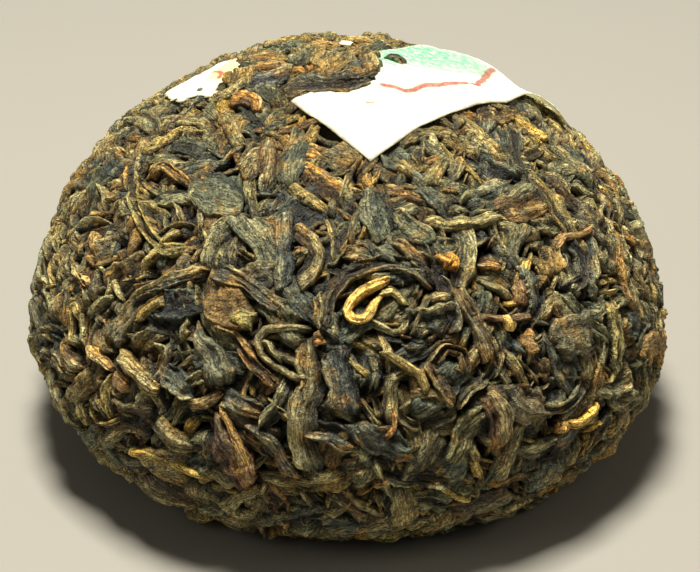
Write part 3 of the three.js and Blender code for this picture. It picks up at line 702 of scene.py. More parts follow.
# Leaves that the photograph shows one by one, as (kind, width, thickness, colour, midline), with
# each midline as (turn in degrees, height in mm) places on the outside of the upright cake.
LANDMARKS = [
    ("blade", 4.4, 0.9, "#4e5242", [(-118.2, 28.5), (-114.1, 27.1), (-112.4, 24.7)]),
    ("blade", 3.2, 0.9, "#4d5648", [(-124, 24.4), (-120.2, 23.9), (-116.9, 23.1)]),
    ("ribbon", 2.7, 0.9, "#5a5038", [(-113.6, 35.6), (-108.4, 36), (-103.4, 36.6)]),
    ("blade", 4.0, 1.0, "#414a42", [(-130.2, 31.2), (-124.2, 31.6), (-119.2, 32.8)]),
    ("strip", 1.7, 1.2, "#5f5232", [(-133.7, 30.5), (-128, 33.1), (-119, 35.7)]),
    ("stem", 1.1, 1.1, "#474a42", [(-131.2, 32), (-125.7, 33.7), (-120, 35.4)]),
    ("strip", 1.8, 1.1, "#9c8244", [(-131.9, 28.7), (-129.5, 30.3), (-127.2, 32)]),
    ("chip", 5.2, 1.1, "#7d6434", [(-118.5, 32.9), (-113.5, 33.2), (-108.7, 33.9)]),
    ("strip", 2.0, 1.2, "#544c36", [(-117.6, 35.8), (-110.5, 35.3), (-105.8, 34.3), (-102.2, 33.5)]),
    ("strip", 2.3, 1.2, "#3c433d", [(-105.3, 41.4), (-103.5, 38.4), (-102.3, 35.2)]),
    ("curl", 1.9, 1.2, "#5c4c2c", [(-101.4, 40.3), (-97, 39.6), (-95.1, 38.4), (-96.5, 37.1), (-99, 35.7)]),
    ("ribbon", 3.0, 1.0, "#5e583c", [(-97, 30.7), (-96.5, 28.2), (-95.6, 26), (-97.1, 23.9),
     (-97.4, 19.9), (-95.9, 16.2)]),
    ("blade", 4.4, 1.1, "#3c413b", [(-92.4, 29.8), (-90.9, 26.8), (-89.9, 23.2)]),
    ("strip", 2.0, 1.1, "#5a5a40", [(-99.9, 26.5), (-101.2, 23.8), (-104.5, 20.9)]),
    ("strip", 2.0, 1.1, "#44463a", [(-111.5, 24.2), (-108.1, 23.2), (-104, 22.6)]),
    ("ribbon", 2.5, 1.0, "#45473c", [(-96.4, 21.1), (-92.4, 20.9), (-88.6, 19.3)]),
    ("blade", 3.4, 1.0, "#474c3e", [(-87.8, 21.9), (-85.3, 19.9), (-79.5, 18.3)]),
    ("strip", 1.7, 1.2, "#7a6238", [(-118, 21.5), (-114.8, 22.2), (-111.7, 24.1)]),
    ("strip", 1.8, 1.3, "#8c6836", [(-109.4, 29.4), (-107.4, 28.2), (-104.6, 27.1), (-101.8, 25.8)]),
    ("stem", 1.0, 1.1, "#6c6546", [(-95.9, 31.7), (-99.8, 31.8), (-104.7, 31.4), (-106.1, 30.2),
     (-105.1, 28.8), (-102.4, 27.8), (-99.3, 26.8), (-96.1, 26.7)]),
    ("crumb", 2.0, 1.2, "#b07c3a", [(-95.7, 30.9), (-93.9, 30.9)]),
    ("chip", 2.2, 1.0, "#8f8448", [(-110.7, 31.5), (-107.1, 32.3)]),
    ("strip", 2.1, 1.3, "#5c5236", [(-94.4, 31.7), (-93.7, 33.8), (-94.4, 35.2)]),
    ("strip", 2.0, 1.3, "#5a5034", [(-93.9, 32.1), (-92.6, 34.8), (-89, 36.8), (-80.4, 37.7),
     (-74.1, 36.9), (-70.5, 34.9)]),
    ("bud", 1.4, 1.3, "#dcb45a", [(-80, 36.2), (-83.3, 35.6), (-86.1, 35.1), (-88, 34.4),
     (-89.1, 33.5), (-88.2, 32.8), (-86.4, 32.8), (-85, 33.4), (-83.8, 34.3), (-82.2, 35.1)]),
    ("curl", 1.3, 1.0, "#8c7c40", [(-82.2, 35.1), (-79.9, 35.2), (-78.7, 34.6), (-77.4, 33.7)]),
    ("curl", 1.5, 1.0, "#857a42", [(-155.5, 39.4), (-147.7, 38.1), (-137.6, 36.7), (-131.6, 36.1),
     (-127.2, 37.1)]),
    ("curl", 1.4, 1.0, "#8a6c3a", [(-150.6, 40.7), (-149.1, 42), (-135.6, 41.7)]),
    ("blade", 4.4, 1.0, "#9c6d4a", [(-112.5, 19.3), (-109.2, 16.8), (-106.5, 12.7)]),
    ("ribbon", 2.1, 1.1, "#4a4636", [(-106.9, 20.6), (-102.7, 19.4), (-98.5, 14.8)]),
    ("stem", 1.0, 1.2, "#b08a4a", [(-111.7, 22.7), (-109.5, 20.7), (-107.5, 18.2), (-106.1, 16.2),
     (-107.9, 15)]),
    ("stem", 1.0, 1.1, "#a88d3e", [(-130.2, 12.4), (-125, 13.8), (-119.9, 13.8), (-114.3, 12.8)]),
    ("stem", 0.7, 1.0, "#9a6a34", [(-82.2, 23.2), (-82.2, 21.5), (-83.7, 20)]),
    ("stem", 1.1, 1.1, "#8a7a46", [(-83, 29.6), (-77, 26.9), (-76.2, 24.8)]),
    ("curl", 1.5, 1.2, "#665636", [(-75.4, 27.1), (-71.4, 29.2), (-68.6, 28.4), (-68.6, 26.2)]),
    ("strip", 1.8, 1.1, "#6b5738", [(-75.1, 28), (-73.6, 25.4), (-71.7, 22.9)]),
    ("strip", 1.8, 1.2, "#4c4636", [(-69.5, 36.1), (-68.6, 34), (-68.5, 31.7), (-70.5, 30.4)]),
    ("ribbon", 2.5, 1.1, "#6e5836", [(-66.9, 34.6), (-65.4, 32), (-63.3, 27.2)]),
    ("stem", 1.0, 1.0, "#6a5234", [(-65.2, 31.9), (-58.3, 30.5), (-52.9, 30)]),
    ("bud", 1.5, 1.1, "#bc9e5a", [(-58.2, 30.9), (-57.4, 29.1)]),
    ("ribbon", 2.7, 1.0, "#444a44", [(-49.4, 34.2), (-51.4, 30.6)]),
    ("stem", 1.7, 1.0, "#6b4a30", [(-52.5, 33.6), (-54.2, 31.4)]),
    ("curl", 1.9, 1.2, "#45473e", [(-34.7, 34.5), (-33.8, 32.8), (-37.2, 30.8), (-42.7, 30.9)]),
    ("blade", 5.0, 1.0, "#5a5136", [(-50, 26), (-44.5, 26), (-40.1, 24.7)]),
    ("blade", 4.4, 1.0, "#5a4c34", [(-61.2, 23.9), (-59.2, 21.4), (-55.1, 19.5)]),
    ("ribbon", 3.0, 1.1, "#6b4f30", [(-65.6, 23.6), (-64.1, 20.7), (-64, 16.8)]),
    ("chip", 2.6, 1.1, "#8f6c34", [(-56.5, 28), (-53.5, 27)]),
    ("crumb", 1.9, 1.1, "#a8803c", [(-51.6, 17.5), (-52.3, 15.8)]),
    ("crumb", 1.8, 1.2, "#c08a34", [(-66.9, 37.7), (-64.9, 36.8), (-66.8, 36.3)]),
    ("strip", 1.3, 1.0, "#a8783a", [(-59.6, 36.3), (-55.1, 35.3)]),
    ("stem", 1.0, 1.1, "#8f6c3c", [(-39.1, 34.8), (-35.9, 35.2), (-29.3, 34.2), (-25.5, 34)]),
    ("stem", 1.1, 1.1, "#86642f", [(-17.3, 31.5), (-22.8, 28.7), (-25.9, 24.4)]),
    ("chip", 3.6, 1.5, "#8a6c38", [(-27, 19.2), (-19.5, 16.8), (-11.3, 14.2)]),
    ("strip", 1.5, 1.1, "#a8823f", [(-141.6, 23.3), (-138, 22.7), (-134.6, 22)]),
    ("strip", 2.3, 1.2, "#85703c", [(-133.5, 24.4), (-128.6, 23.4), (-123.6, 22.2)]),
    ("crumb", 2.2, 1.3, "#a87833", [(-133.6, 22.1), (-129.7, 21.4)]),
    ("chip", 2.4, 1.1, "#876c38", [(-155.3, 32.9), (-149.7, 32.1)]),
    ("crumb", 1.6, 1.2, "#b07c3c", [(-150.3, 29.2), (-147.7, 28.7)]),
]
# The same for leaves on the crown, with plan places in mm: over the ticket's tucked edge, by its
# green field, and between the slips.
CROWN_LANDMARKS = [
    ("ribbon", 2.4, 0.7, "#5c4c2e", [(-8.6, -6.6), (-4.5, -6.6), (-0.6, -6.4), (2.6, -5.0)]),
    ("strip", 1.8, 0.7, "#4c4630", [(-6.4, -4.6), (-2.5, -4.7), (1.0, -4.2), (3.6, -2.6)]),
    ("ribbon", 2.2, 0.7, "#5a4a2c", [(3.0, -2.4), (2.4, 1.2), (3.0, 5.0)]),
    ("blade", 6.0, 0.5, "#8a7440", [(-3.6, -2.0), (-2.2, 1.0), (-1.0, 4.4)]),
    ("ribbon", 2.6, 0.7, "#54502f", [(-7.0, 0.6), (-5.4, 3.0), (-4.6, 6.0)]),
    ("strip", 1.5, 0.8, "#4a4632", [(4.6, 4.2), (5.8, 3.2), (7.2, 1.8)]),
    ("strip", 2.6, 1.1, "#4b5049", [(-12.4, -3.6), (-9.8, -3.1), (-7.4, -1.6)]),
    ("strip", 2.2, 1.1, "#93682f", [(-14.9, -5.6), (-12.9, -6.7), (-11.4, -8.2), (-11.3, -9.8)]),
    ("strip", 2.0, 1.1, "#7a5a2c", [(-11.9, 0.4), (-9.8, 0.2), (-8.2, -0.6)]),
]

LANDMARK_STATIONS = 30
LANDMARK_POINTS = 15
LANDMARK_LIFT = 0.2        # how much more of one stands out than of the others
CROWN_LANDMARK_LIFT = 0.55
LANDMARK_SINK = 0.15
LANDMARK_TUCK = 0.35
MIDLINE_SAMPLES = 200
MIDLINE_ROUNDING = 0.7     # length that a midline's corners are rounded over
DOME_TOP = 40              # height above which a place is found by its plan radius


def midline_through(points, stations):
    """A smooth midline on the skin through points on it."""
    run = np.concatenate([[0], np.cumsum(np.linalg.norm(np.diff(points, axis=0), axis=1))])
    fine = np.linspace(0, run[-1], MIDLINE_SAMPLES)
    track = np.stack([np.interp(fine, run, points[:, i]) for i in range(3)], 1)
    reach = min(150, int(MIDLINE_SAMPLES * MIDLINE_ROUNDING / run[-1]))
    padded = np.concatenate([2 * track[:1] - track[reach:0:-1], track,
                             2 * track[-1:] - track[-2:-reach - 2:-1]])
    window = np.hanning(2 * reach + 1) / np.hanning(2 * reach + 1).sum()
    track = np.stack([np.convolve(padded[:, i], window, "valid") for i in range(3)], 1)
    run = np.concatenate([[0], np.cumsum(np.linalg.norm(np.diff(track, axis=0), axis=1))])
    length = run[-1]
    at = stations_of(stations) * length
    track = np.stack([np.interp(at, run, track[:, i]) for i in range(3)], 1)
    outside = skin.run < DOME_SPAN
    s = np.interp(np.hypot(track[:, 0], track[:, 1]), skin.r[outside], skin.run[outside])
    s = np.where(track[:, 2] < DOME_TOP, skin.s_at_height(track[:, 2]), s)
    turn = np.arctan2(track[:, 1], track[:, 0])
    way = np.gradient(track, axis=0)
    _, _, out = skin.frame(s, turn)
    way = unit(way - out * (way * out).sum(-1, keepdims=True))
    return s, turn, way, length


SLIPS_AFTER = 3            # number of the round, from 0, that the slips are laid after
for round_number in range(max(layer[0] for layer in LAYERS)):
    for rounds, *layer in LAYERS:
        if round_number < rounds:
            leaf_batch(*layer)
    if round_number == SLIPS_AFTER:
        lay_slips()
for landmark in LANDMARKS + CROWN_LANDMARKS:
    kind, width, thick, hex_colour, places = landmark
    first, second = np.array(places).T
    if landmark in CROWN_LANDMARKS:
        start = on_dome(first, second)
        lift = CROWN_LANDMARK_LIFT
    else:
        start = skin.s_at_height(second), np.radians(first)
        lift = LANDMARK_LIFT
    s, turn, way, length = midline_through(skin.frame(*start)[0], LANDMARK_STATIONS)
    press(kind, s, turn, way, length, width / 2, thick, np.array(linear(hex_colour)[:3]),
          LANDMARK_POINTS, limit=PRESS_LIMIT + lift, sink=LANDMARK_SINK, tuck=LANDMARK_TUCK)

# What lies under a later leaf or slip is pushed down below it, and what is quite hidden is
# left out. The ceiling is how low the later ones come down, cell by cell.
CEILING_CELL = 0.2
OPEN = 9.0                 # height of the ceiling where nothing lies over a cell
UNDER_SLIP = 0.16          # clear space under a slip
UNDER_LEAF = 0.14          # clear space under a leaf's top, and the share of its thickness
UNDER_SHARE = 0.12         # that is added to it
LEAST_SEEN = 0.1           # share of a leaf's points that have to be free for it to be kept
FILL_STEP = 0.17           # spacing that a leaf is read at
ceiling = Skin(half_outline(), CEILING_CELL, OPEN)
kept = []


def filled_in(values, times):
    """A leaf's grid of values with more stations and points, for reading it cell by cell."""
    for axis in (0, 1):
        size = values.shape[axis]
        at = np.linspace(0, size - 1, (size - 1) * times[axis] + 1)
        low = np.minimum(at.astype(int), size - 2)
        t = (at - low).reshape((-1, 1) if axis == 0 else (1, -1))
        values = np.take(values, low, axis) * (1 - t) + np.take(values, low + 1, axis) * t
    return values


cell_s, cell_turn = skin.cell_places()
for leaf in reversed(pressed):
    if leaf["kind"] == "slip":
        s, turn = cell_s[leaf["cells"]], cell_turn[leaf["cells"]]
        column = 2 * math.pi / skin.columns[np.clip((s / skin.cell).astype(int), 0, None)]
        for shift_s in (-0.1, 0.1):
            for shift_turn in (-0.25, 0.25):
                under = ceiling.cells(s + shift_s, turn + shift_turn * column)
                ceiling.height[under] = np.minimum(ceiling.height[under], leaf["height"] - UNDER_SLIP)
        continue
    under = ceiling.cells(leaf["s"], leaf["turn"])
    free = (ceiling.height[under] > OPEN / 2) & leaf["wins"]
    leaf["height"] = np.minimum(leaf["height"], ceiling.height[under])
    if free[1:-1, 1:-1].mean() < LEAST_SEEN:
        continue
    kept.append(leaf)
    gap = leaf["along"][-1] / (len(leaf["along"]) - 1)
    side_gap = 2 * np.abs(leaf["across"]).max() / (leaf["across"].shape[1] - 1)
    times = (math.ceil(gap / FILL_STEP), math.ceil(side_gap / FILL_STEP))
    inner = slice(1, -1)
    s = filled_in(leaf["s"][:, inner], times)
    turn = np.angle(filled_in(np.exp(1j * leaf["turn"][:, inner]), times))
    under = ceiling.cells(s, turn)
    top = filled_in(leaf["height"][:, inner], times) - UNDER_LEAF - UNDER_SHARE * leaf["thick"]
    top = np.where(filled_in(leaf["wins"][:, inner].astype(float), times) > 0.5, top, OPEN)
    ceiling.height[under] = np.minimum(ceiling.height[under], top)
kept.reverse()


# ---- The whole leaves, stems and buds, and the broken bits between them ----
# Each leaf is a closed shell with its underside sunk in the cake. Leaves that ended up hidden
# under others are left out, and the rest are joined, one piece for each kind.

LEVEL_REACH = 2.2          # radius that the level round a leaf is taken over
LEVEL_SIDES = 12           # directions that it is taken in
KEEL = 0.35                # depth of a leaf's underside below its bed, as a share of its thickness
LEAST_KEEL = 0.1           # the same, below the lowest point of its top
UNDERSIDE_RIDGE = -0.3     # the underside is given the painted shade of the bottom of a fold
UNDERSIDE_DEPTH = 2.0      # and the painted shade of what lies this deep
GRAIN_WIDTH = 2.4          # half widths of a leaf that the grain's U goes over, there and back
GRAIN_SHIFT = 17.3         # between the grain of one leaf and the next
BAKE_MARGIN = 0.04         # round a leaf's share of the bake map


def level_around(reach):
    """For each cell, the mean height of what lies round it."""
    s, turn = skin.cell_places()
    total = np.zeros(len(s))
    _, along, out = skin.frame(s, turn)
    aside = np.cross(out, along)
    for ring_turn in np.arange(LEVEL_SIDES) / LEVEL_SIDES * 2 * math.pi:
        for share in (0.5, 1.0):
            step = share * reach * (along * math.cos(ring_turn) + aside * math.sin(ring_turn))
            total += skin.height[skin.cells(*skin.move(s, turn, step))]
    return total / (2 * LEVEL_SIDES)


level = level_around(LEVEL_REACH)


def crumpled(points, out):
    """Moves points by noise in space, alike for all leaves, so that rolled forms turn rough."""
    sideways = np.stack([rough(points + 31 * k, 1.35) for k in (1, 2, 3)], -1)
    sideways += 0.45 * np.stack([rough(points + 17 * k, 0.6) for k in (1, 2, 3)], -1)
    sideways -= out * (sideways * out).sum(-1, keepdims=True)
    lift = 0.08 * (0.4 - 1.3 * np.abs(rough(points + 5, 1.0))) + 0.04 * rough(points + 11, 0.45)
    return points + 0.09 * sideways + out * lift[..., None]


def join_leaves(name, leaves, material):
    """One mesh of many leaves, with a grain UV map in mm, a bake map and their tones."""
    points, loops, starts = [], [], []
    grain, bake, tones, ridges, depths = [], [], [], [], []
    first_point = 0
    first_loop = 0
    rows = max(1, math.ceil(math.sqrt(len(leaves) / 3)))
    columns = math.ceil(len(leaves) / rows)
    for number, leaf in enumerate(leaves):
        # the top is a grid, and one row of points under its middle closes it
        stations, across = leaf["s"].shape
        ring = across + 1
        spot, _, out = skin.frame(leaf["s"], leaf["turn"])
        shell = spot + out * leaf["height"][..., None]
        pick = np.array([across // 2])
        deep = leaf["base"][:, None] - KEEL * leaf["thick"]
        deep = np.minimum(deep, leaf["height"].min(1, keepdims=True) - LEAST_KEEL * leaf["thick"])
        under = spot[:, pick] + out[:, pick] * deep[..., None]
        rim = crumpled(np.concatenate([shell, under], 1), np.concatenate([out, out[:, pick]], 1))
        rim[..., 2] = np.maximum(rim[..., 2], 0.0)
        points.append(rim.reshape(-1, 3))
        k, j = np.meshgrid(np.arange(stations - 1), np.arange(ring), indexing="ij")
        after = (j + 1) % ring
        quads = np.stack([k * ring + j, k * ring + after, (k + 1) * ring + after, (k + 1) * ring + j], -1)
        caps = np.concatenate([np.arange(ring)[::-1], (stations - 1) * ring + np.arange(ring)])
        loops.append(first_point + np.concatenate([quads.ravel(), caps]))
        quad_count = (stations - 1) * ring
        starts.append(first_loop + np.concatenate([np.arange(quad_count) * 4,
                                                   quad_count * 4 + np.array([0, ring])]))
        # its maps run round the shell and along it
        around = np.stack([j, j + 1, j + 1, j], -1).reshape(-1)
        down = np.stack([k, k, k + 1, k + 1], -1).reshape(-1)
        share = leaf["along"] / leaf["along"][-1]
        run = np.concatenate([around, np.arange(ring)[::-1], np.arange(ring)])
        fall = np.concatenate([down, np.zeros(ring, int), np.full(ring, stations - 1)])
        width = 2 * np.abs(leaf["across"]).max()
        grain.append(np.stack([run / ring * GRAIN_WIDTH * width + GRAIN_SHIFT * number,
                               leaf["along"][fall]], 1))
        corner = np.array([number % columns, number // columns])
        spread = (1 - 2 * BAKE_MARGIN) * np.stack([run / ring, share[fall]], 1)
        bake.append((corner + BAKE_MARGIN + spread) / [columns, rows])
        tones.append(np.broadcast_to(leaf["colour"], (stations * ring, 3)))
        # how far each point lies below the level round it, which sets its painted shade
        below = level[leaf["cells"]] - leaf["height"]
        for values, shown, underside in ((ridges, leaf["ridge"], UNDERSIDE_RIDGE),
                                         (depths, below, UNDERSIDE_DEPTH)):
            values.append(np.concatenate([shown, np.full((stations, 1), underside)], 1).reshape(-1))
        first_point += stations * ring
        first_loop += len(loops[-1])
    piece = mesh_piece(name, lean_over(np.concatenate(points)), np.concatenate(loops),
                       np.concatenate(starts), material)
    mesh = piece.data
    for title, values in (("OFBake", bake), ("grain", grain)):
        layer = mesh.uv_layers.new(name=title)
        layer.uv.foreach_set("vector", np.concatenate(values).astype(np.float32).ravel())
    tone = mesh.attributes.new("leaf_tone", "FLOAT_COLOR", "POINT")
    shades = np.concatenate([np.concatenate(tones), np.ones((len(mesh.vertices), 1))], 1)
    tone.data.foreach_set("color", shades.astype(np.float32).ravel())
    for title, values in (("leaf_ridge", ridges), ("leaf_depth", depths)):
        layer = mesh.attributes.new(title, "FLOAT", "POINT")
        layer.data.foreach_set("value", np.concatenate(values).astype(np.float32))
    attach(piece, "root")
    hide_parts("tea_cake")
    return piece


def creases(tree, place, scale, width):
    """Nodes for sharp valley lines where a noise crosses its middle: 0 in them and 1 between."""
    noise = add_node(tree, "TexNoise", Vector=place, Scale=scale, Detail=3.0, Roughness=0.6, Distortion=0.3)
    off = add_node(tree, "Math", dict(operation="SUBTRACT"), _0=noise.outputs["Fac"], _1=0.5)
    off = add_node(tree, "Math", dict(operation="ABSOLUTE"), _0=off.outputs[0])
    return add_node(tree, "MapRange", Value=off.outputs[0], From_Max=width).outputs[0]


# Noise scales per metre on Object coordinates
CRUMPLE_SCALE = 900.0      # creases about 1.1 mm apart
PATCH_SCALE = 420.0        # rubbed patches about 2.4 mm across
HUE_SCALE = 300.0          # cool and warm patches about 3.3 mm across
COOL_AND_WARM = [(0.49, 0.39, "#444a3f"), (0.52, 0.62, "#946e2c")]   # where one begins and is full
# The grain map's U is stretched 2.2 times, so across a leaf the noise is scaled down by as much
GRAIN_ACROSS = 0.36        # noise periods in the width of a groove or speck
GRAIN_ALONG = 0.07         # and along a groove, in a length that equals its width


def leaf_material(name, worn_and_lit, deep, gloss, groove, speckle, patchy, streak):
    """A dry leaf: its own tone, paler where ridges are rubbed and along one edge with a painted
    highlight, darker in its folds with painted shade, with fine lengthwise wrinkles. worn and deep
    are hex colours, deep the painted shade of the folds, groove and speckle in mm, patchy the
    share of it that turns cool or warm, and streak how round its specks are."""
    made = bpy.data.materials.new(name)
    made.use_nodes = True
    tree = made.node_tree
    shader = tree.nodes["Principled BSDF"]
    shader.inputs["Specular IOR Level"].default_value = 0.5
    tone = add_node(tree, "Attribute", dict(attribute_name="leaf_tone")).outputs["Color"]
    ridge = add_node(tree, "Attribute", dict(attribute_name="leaf_ridge")).outputs["Fac"]
    depth = add_node(tree, "Attribute", dict(attribute_name="leaf_depth")).outputs["Fac"]
    place = add_node(tree, "TexCoord").outputs["Object"]
    grain = add_node(tree, "UVMap", dict(uv_map="grain")).outputs["UV"]
    stretched = add_node(tree, "Mapping", Vector=grain,
                         Scale=(GRAIN_ACROSS / groove, GRAIN_ALONG / groove, 1.0))
    veins = creases(tree, stretched.outputs["Vector"], 1.0, 0.05)
    crumples = creases(tree, place, CRUMPLE_SCALE, 0.045)
    patches = add_node(tree, "TexNoise", Vector=place, Scale=PATCH_SCALE, Detail=4.0, Roughness=0.6)
    hues = add_node(tree, "TexNoise", Vector=place, Scale=HUE_SCALE, Detail=4.0, Roughness=0.65)
    fibrous = add_node(tree, "Mapping", Vector=grain, Scale=(GRAIN_ACROSS / speckle, streak / speckle, 1.0))
    specks = add_node(tree, "TexNoise", Vector=fibrous.outputs["Vector"], Scale=1.0, Detail=3.0,
                      Roughness=0.75)
    patches, specks = patches.outputs["Fac"], specks.outputs["Fac"]
    # cool and warm patches
    for begins, full, tint in COOL_AND_WARM:
        patch = add_node(tree, "MapRange", Value=hues.outputs["Fac"], From_Min=begins, From_Max=full,
                         To_Min=0.0, To_Max=patchy)
        tone = add_node(tree, "Mix", dict(data_type="RGBA"), _0=patch.outputs[0], _6=tone,
                        _7=linear(tint)).outputs[2]
    # ridges and pale patches rub to the worn colour, and one edge of each leaf takes it as a painted
    # highlight
    mottle = add_node(tree, "MapRange", Value=patches, From_Min=0.4, From_Max=0.66, To_Min=-0.15, To_Max=0.45)
    rubbed_and_lit = add_node(tree, "Math", dict(operation="MULTIPLY_ADD", use_clamp=True), _0=ridge, _1=1.7,
                      _2=mottle.outputs[0])
    rubbed_and_lit = add_node(tree, "Math", dict(operation="MULTIPLY"), _0=rubbed_and_lit.outputs[0], _1=0.75)
    pale = add_node(tree, "Mix", dict(data_type="RGBA"), _0=rubbed_and_lit.outputs[0], _6=tone, _7=linear(worn_and_lit))
    # painted shade: the bottoms of folds go dark
    fold = add_node(tree, "MapRange", Value=ridge, From_Min=-0.08, From_Max=-0.34, To_Min=0.0, To_Max=0.8)
    dark = add_node(tree, "Mix", dict(data_type="RGBA"), _0=fold.outputs[0], _6=pale.outputs[2],
                    _7=linear(deep))
    # painted shade darkens vein grooves and crumple creases, and most of all what lies deeper than
    # the leaves round it, along with the dust it keeps; specks vary the tone at random
    shade = 1.0
    for value, (low, high), (least, most) in (
            (veins, (0.0, 1.0), (0.46, 1.14)), (specks, (0.42, 0.58), (0.56, 1.36)),
            (crumples, (0.0, 1.0), (0.76, 1.06)), (depth, (-0.5, 0.6), (2.5, 0.4))):
        factor = add_node(tree, "MapRange", Value=value, From_Min=low, From_Max=high,
                          To_Min=least, To_Max=most)
        shade = add_node(tree, "Math", dict(operation="MULTIPLY"), _0=shade, _1=factor.outputs[0]).outputs[0]
    final = add_node(tree, "VectorMath", dict(operation="SCALE"), _0=dark.outputs[2], Scale=shade)
    tree.links.new(final.outputs[0], shader.inputs["Base Color"])
    sheen = add_node(tree, "MapRange", Value=patches, From_Min=0.3, From_Max=0.7,
                     To_Min=gloss - 0.06, To_Max=gloss + 0.16)
    tree.links.new(sheen.outputs[0], shader.inputs["Roughness"])
    # relief of the veins and specks, the crumples and the patches, one over the other
    fine = add_node(tree, "Math", dict(operation="MULTIPLY_ADD"), _0=specks, _1=2.0, _2=veins)
    carried = {}
    for height, distance in ((fine.outputs[0], 0.3), (crumples, 0.22), (patches, 0.6)):
        relief = add_node(tree, "Bump", Strength=1.0, Distance=distance * MM, Height=height, **carried)
        carried = dict(Normal=relief.outputs["Normal"])
    tree.links.new(relief.outputs["Normal"], shader.inputs["Normal"])
    return made


# Tea leaves rolled, withered and pressed: half matt, from the golden down of a bud to the
# near black of an old leaf, each rubbed paler on its ridges.
FINISHES = {
    # name, worn ridge colour, painted fold shade colour, roughness, groove width, grit width, patchiness,
    # streak
    "strip": ("rolled_leaf", "#928a5e", "#1f1b12", 0.5, 0.32, 0.22, 0.6, 0.26),
    "ribbon": ("flattened_leaf", "#8a8258", "#1a1812", 0.48, 0.4, 0.24, 0.65, 0.3),
    "twist": ("twisted_leaf", "#9c8c58", "#1e190f", 0.5, 0.28, 0.22, 0.5, 0.24),
    "blade": ("broad_dark_leaf", "#807852", "#17150f", 0.45, 0.45, 0.26, 0.7, 0.4),
    "curl": ("curled_leaf", "#a0935f", "#1f1a10", 0.5, 0.3, 0.22, 0.5, 0.26),
    "stem": ("leaf_stalk", "#ab9a60", "#2a2015", 0.48, 0.22, 0.2, 0.3, 0.2),
    "bud": ("golden_bud", "#dcb866", "#5a3d1c", 0.55, 0.2, 0.18, 0.12, 0.2),
    "chip": ("crumbly_leaf", "#a08450", "#22180e", 0.6, 0.35, 0.24, 0.35, 0.8),
    "crumb": ("broken_leaf", "#a0905c", "#1f1911", 0.6, 0.3, 0.22, 0.55, 0.5),
}
for kind, finish in FINISHES.items():
    join_leaves(f"{kind}_leaves", [leaf for leaf in kept if leaf["kind"] == kind], leaf_material(*finish))


# ---- The slips of paper ----
# Thin white rice paper, printed on its upper side: a mottled green field and a red ruled line.
# The ticket's free end stands off the curve of the cake, and the scrap is torn all round.

PAPER_THICKNESS = 0.1
EDGE_STEP = 0.35           # between points along a slip's edge, and over its face
FACE_STEP = 0.45
FACE_JITTER = 0.08
FACE_CLEARANCE = 0.2       # from the edge to the nearest point of the face
RED_RULE = [(4.2, -5.6), (6.0, -5.3), (7.0, -5.6), (8.0, -5.1), (9.6, -3.7), (12.0, -2.1),
            (13.3, -0.7), (15.0, 0.7)]
RED_CORNER = [(15.8, 1.2), (16.5, 1.7), (17.8, 6.9), (19.0, 13.6)]
BROWN_FLECK = [(2.2, -9.4), (3.0, -9.25)]
GREEN_BAND = [(4.8, 4.6), (8.5, 7.2), (11.6, 8.6), (14.2, 10.6)]
YELLOW_FIELD = [(-16.2, 3.0), (-15.0, 6.6)]
PINK_EDGE = [(-15.4, 8.4), (-15.0, 7.2)]
RED_MARK = [(-17.3, 4.4), (-16.8, 4.1), (-16.4, 3.0), (-16.7, 2.1)]


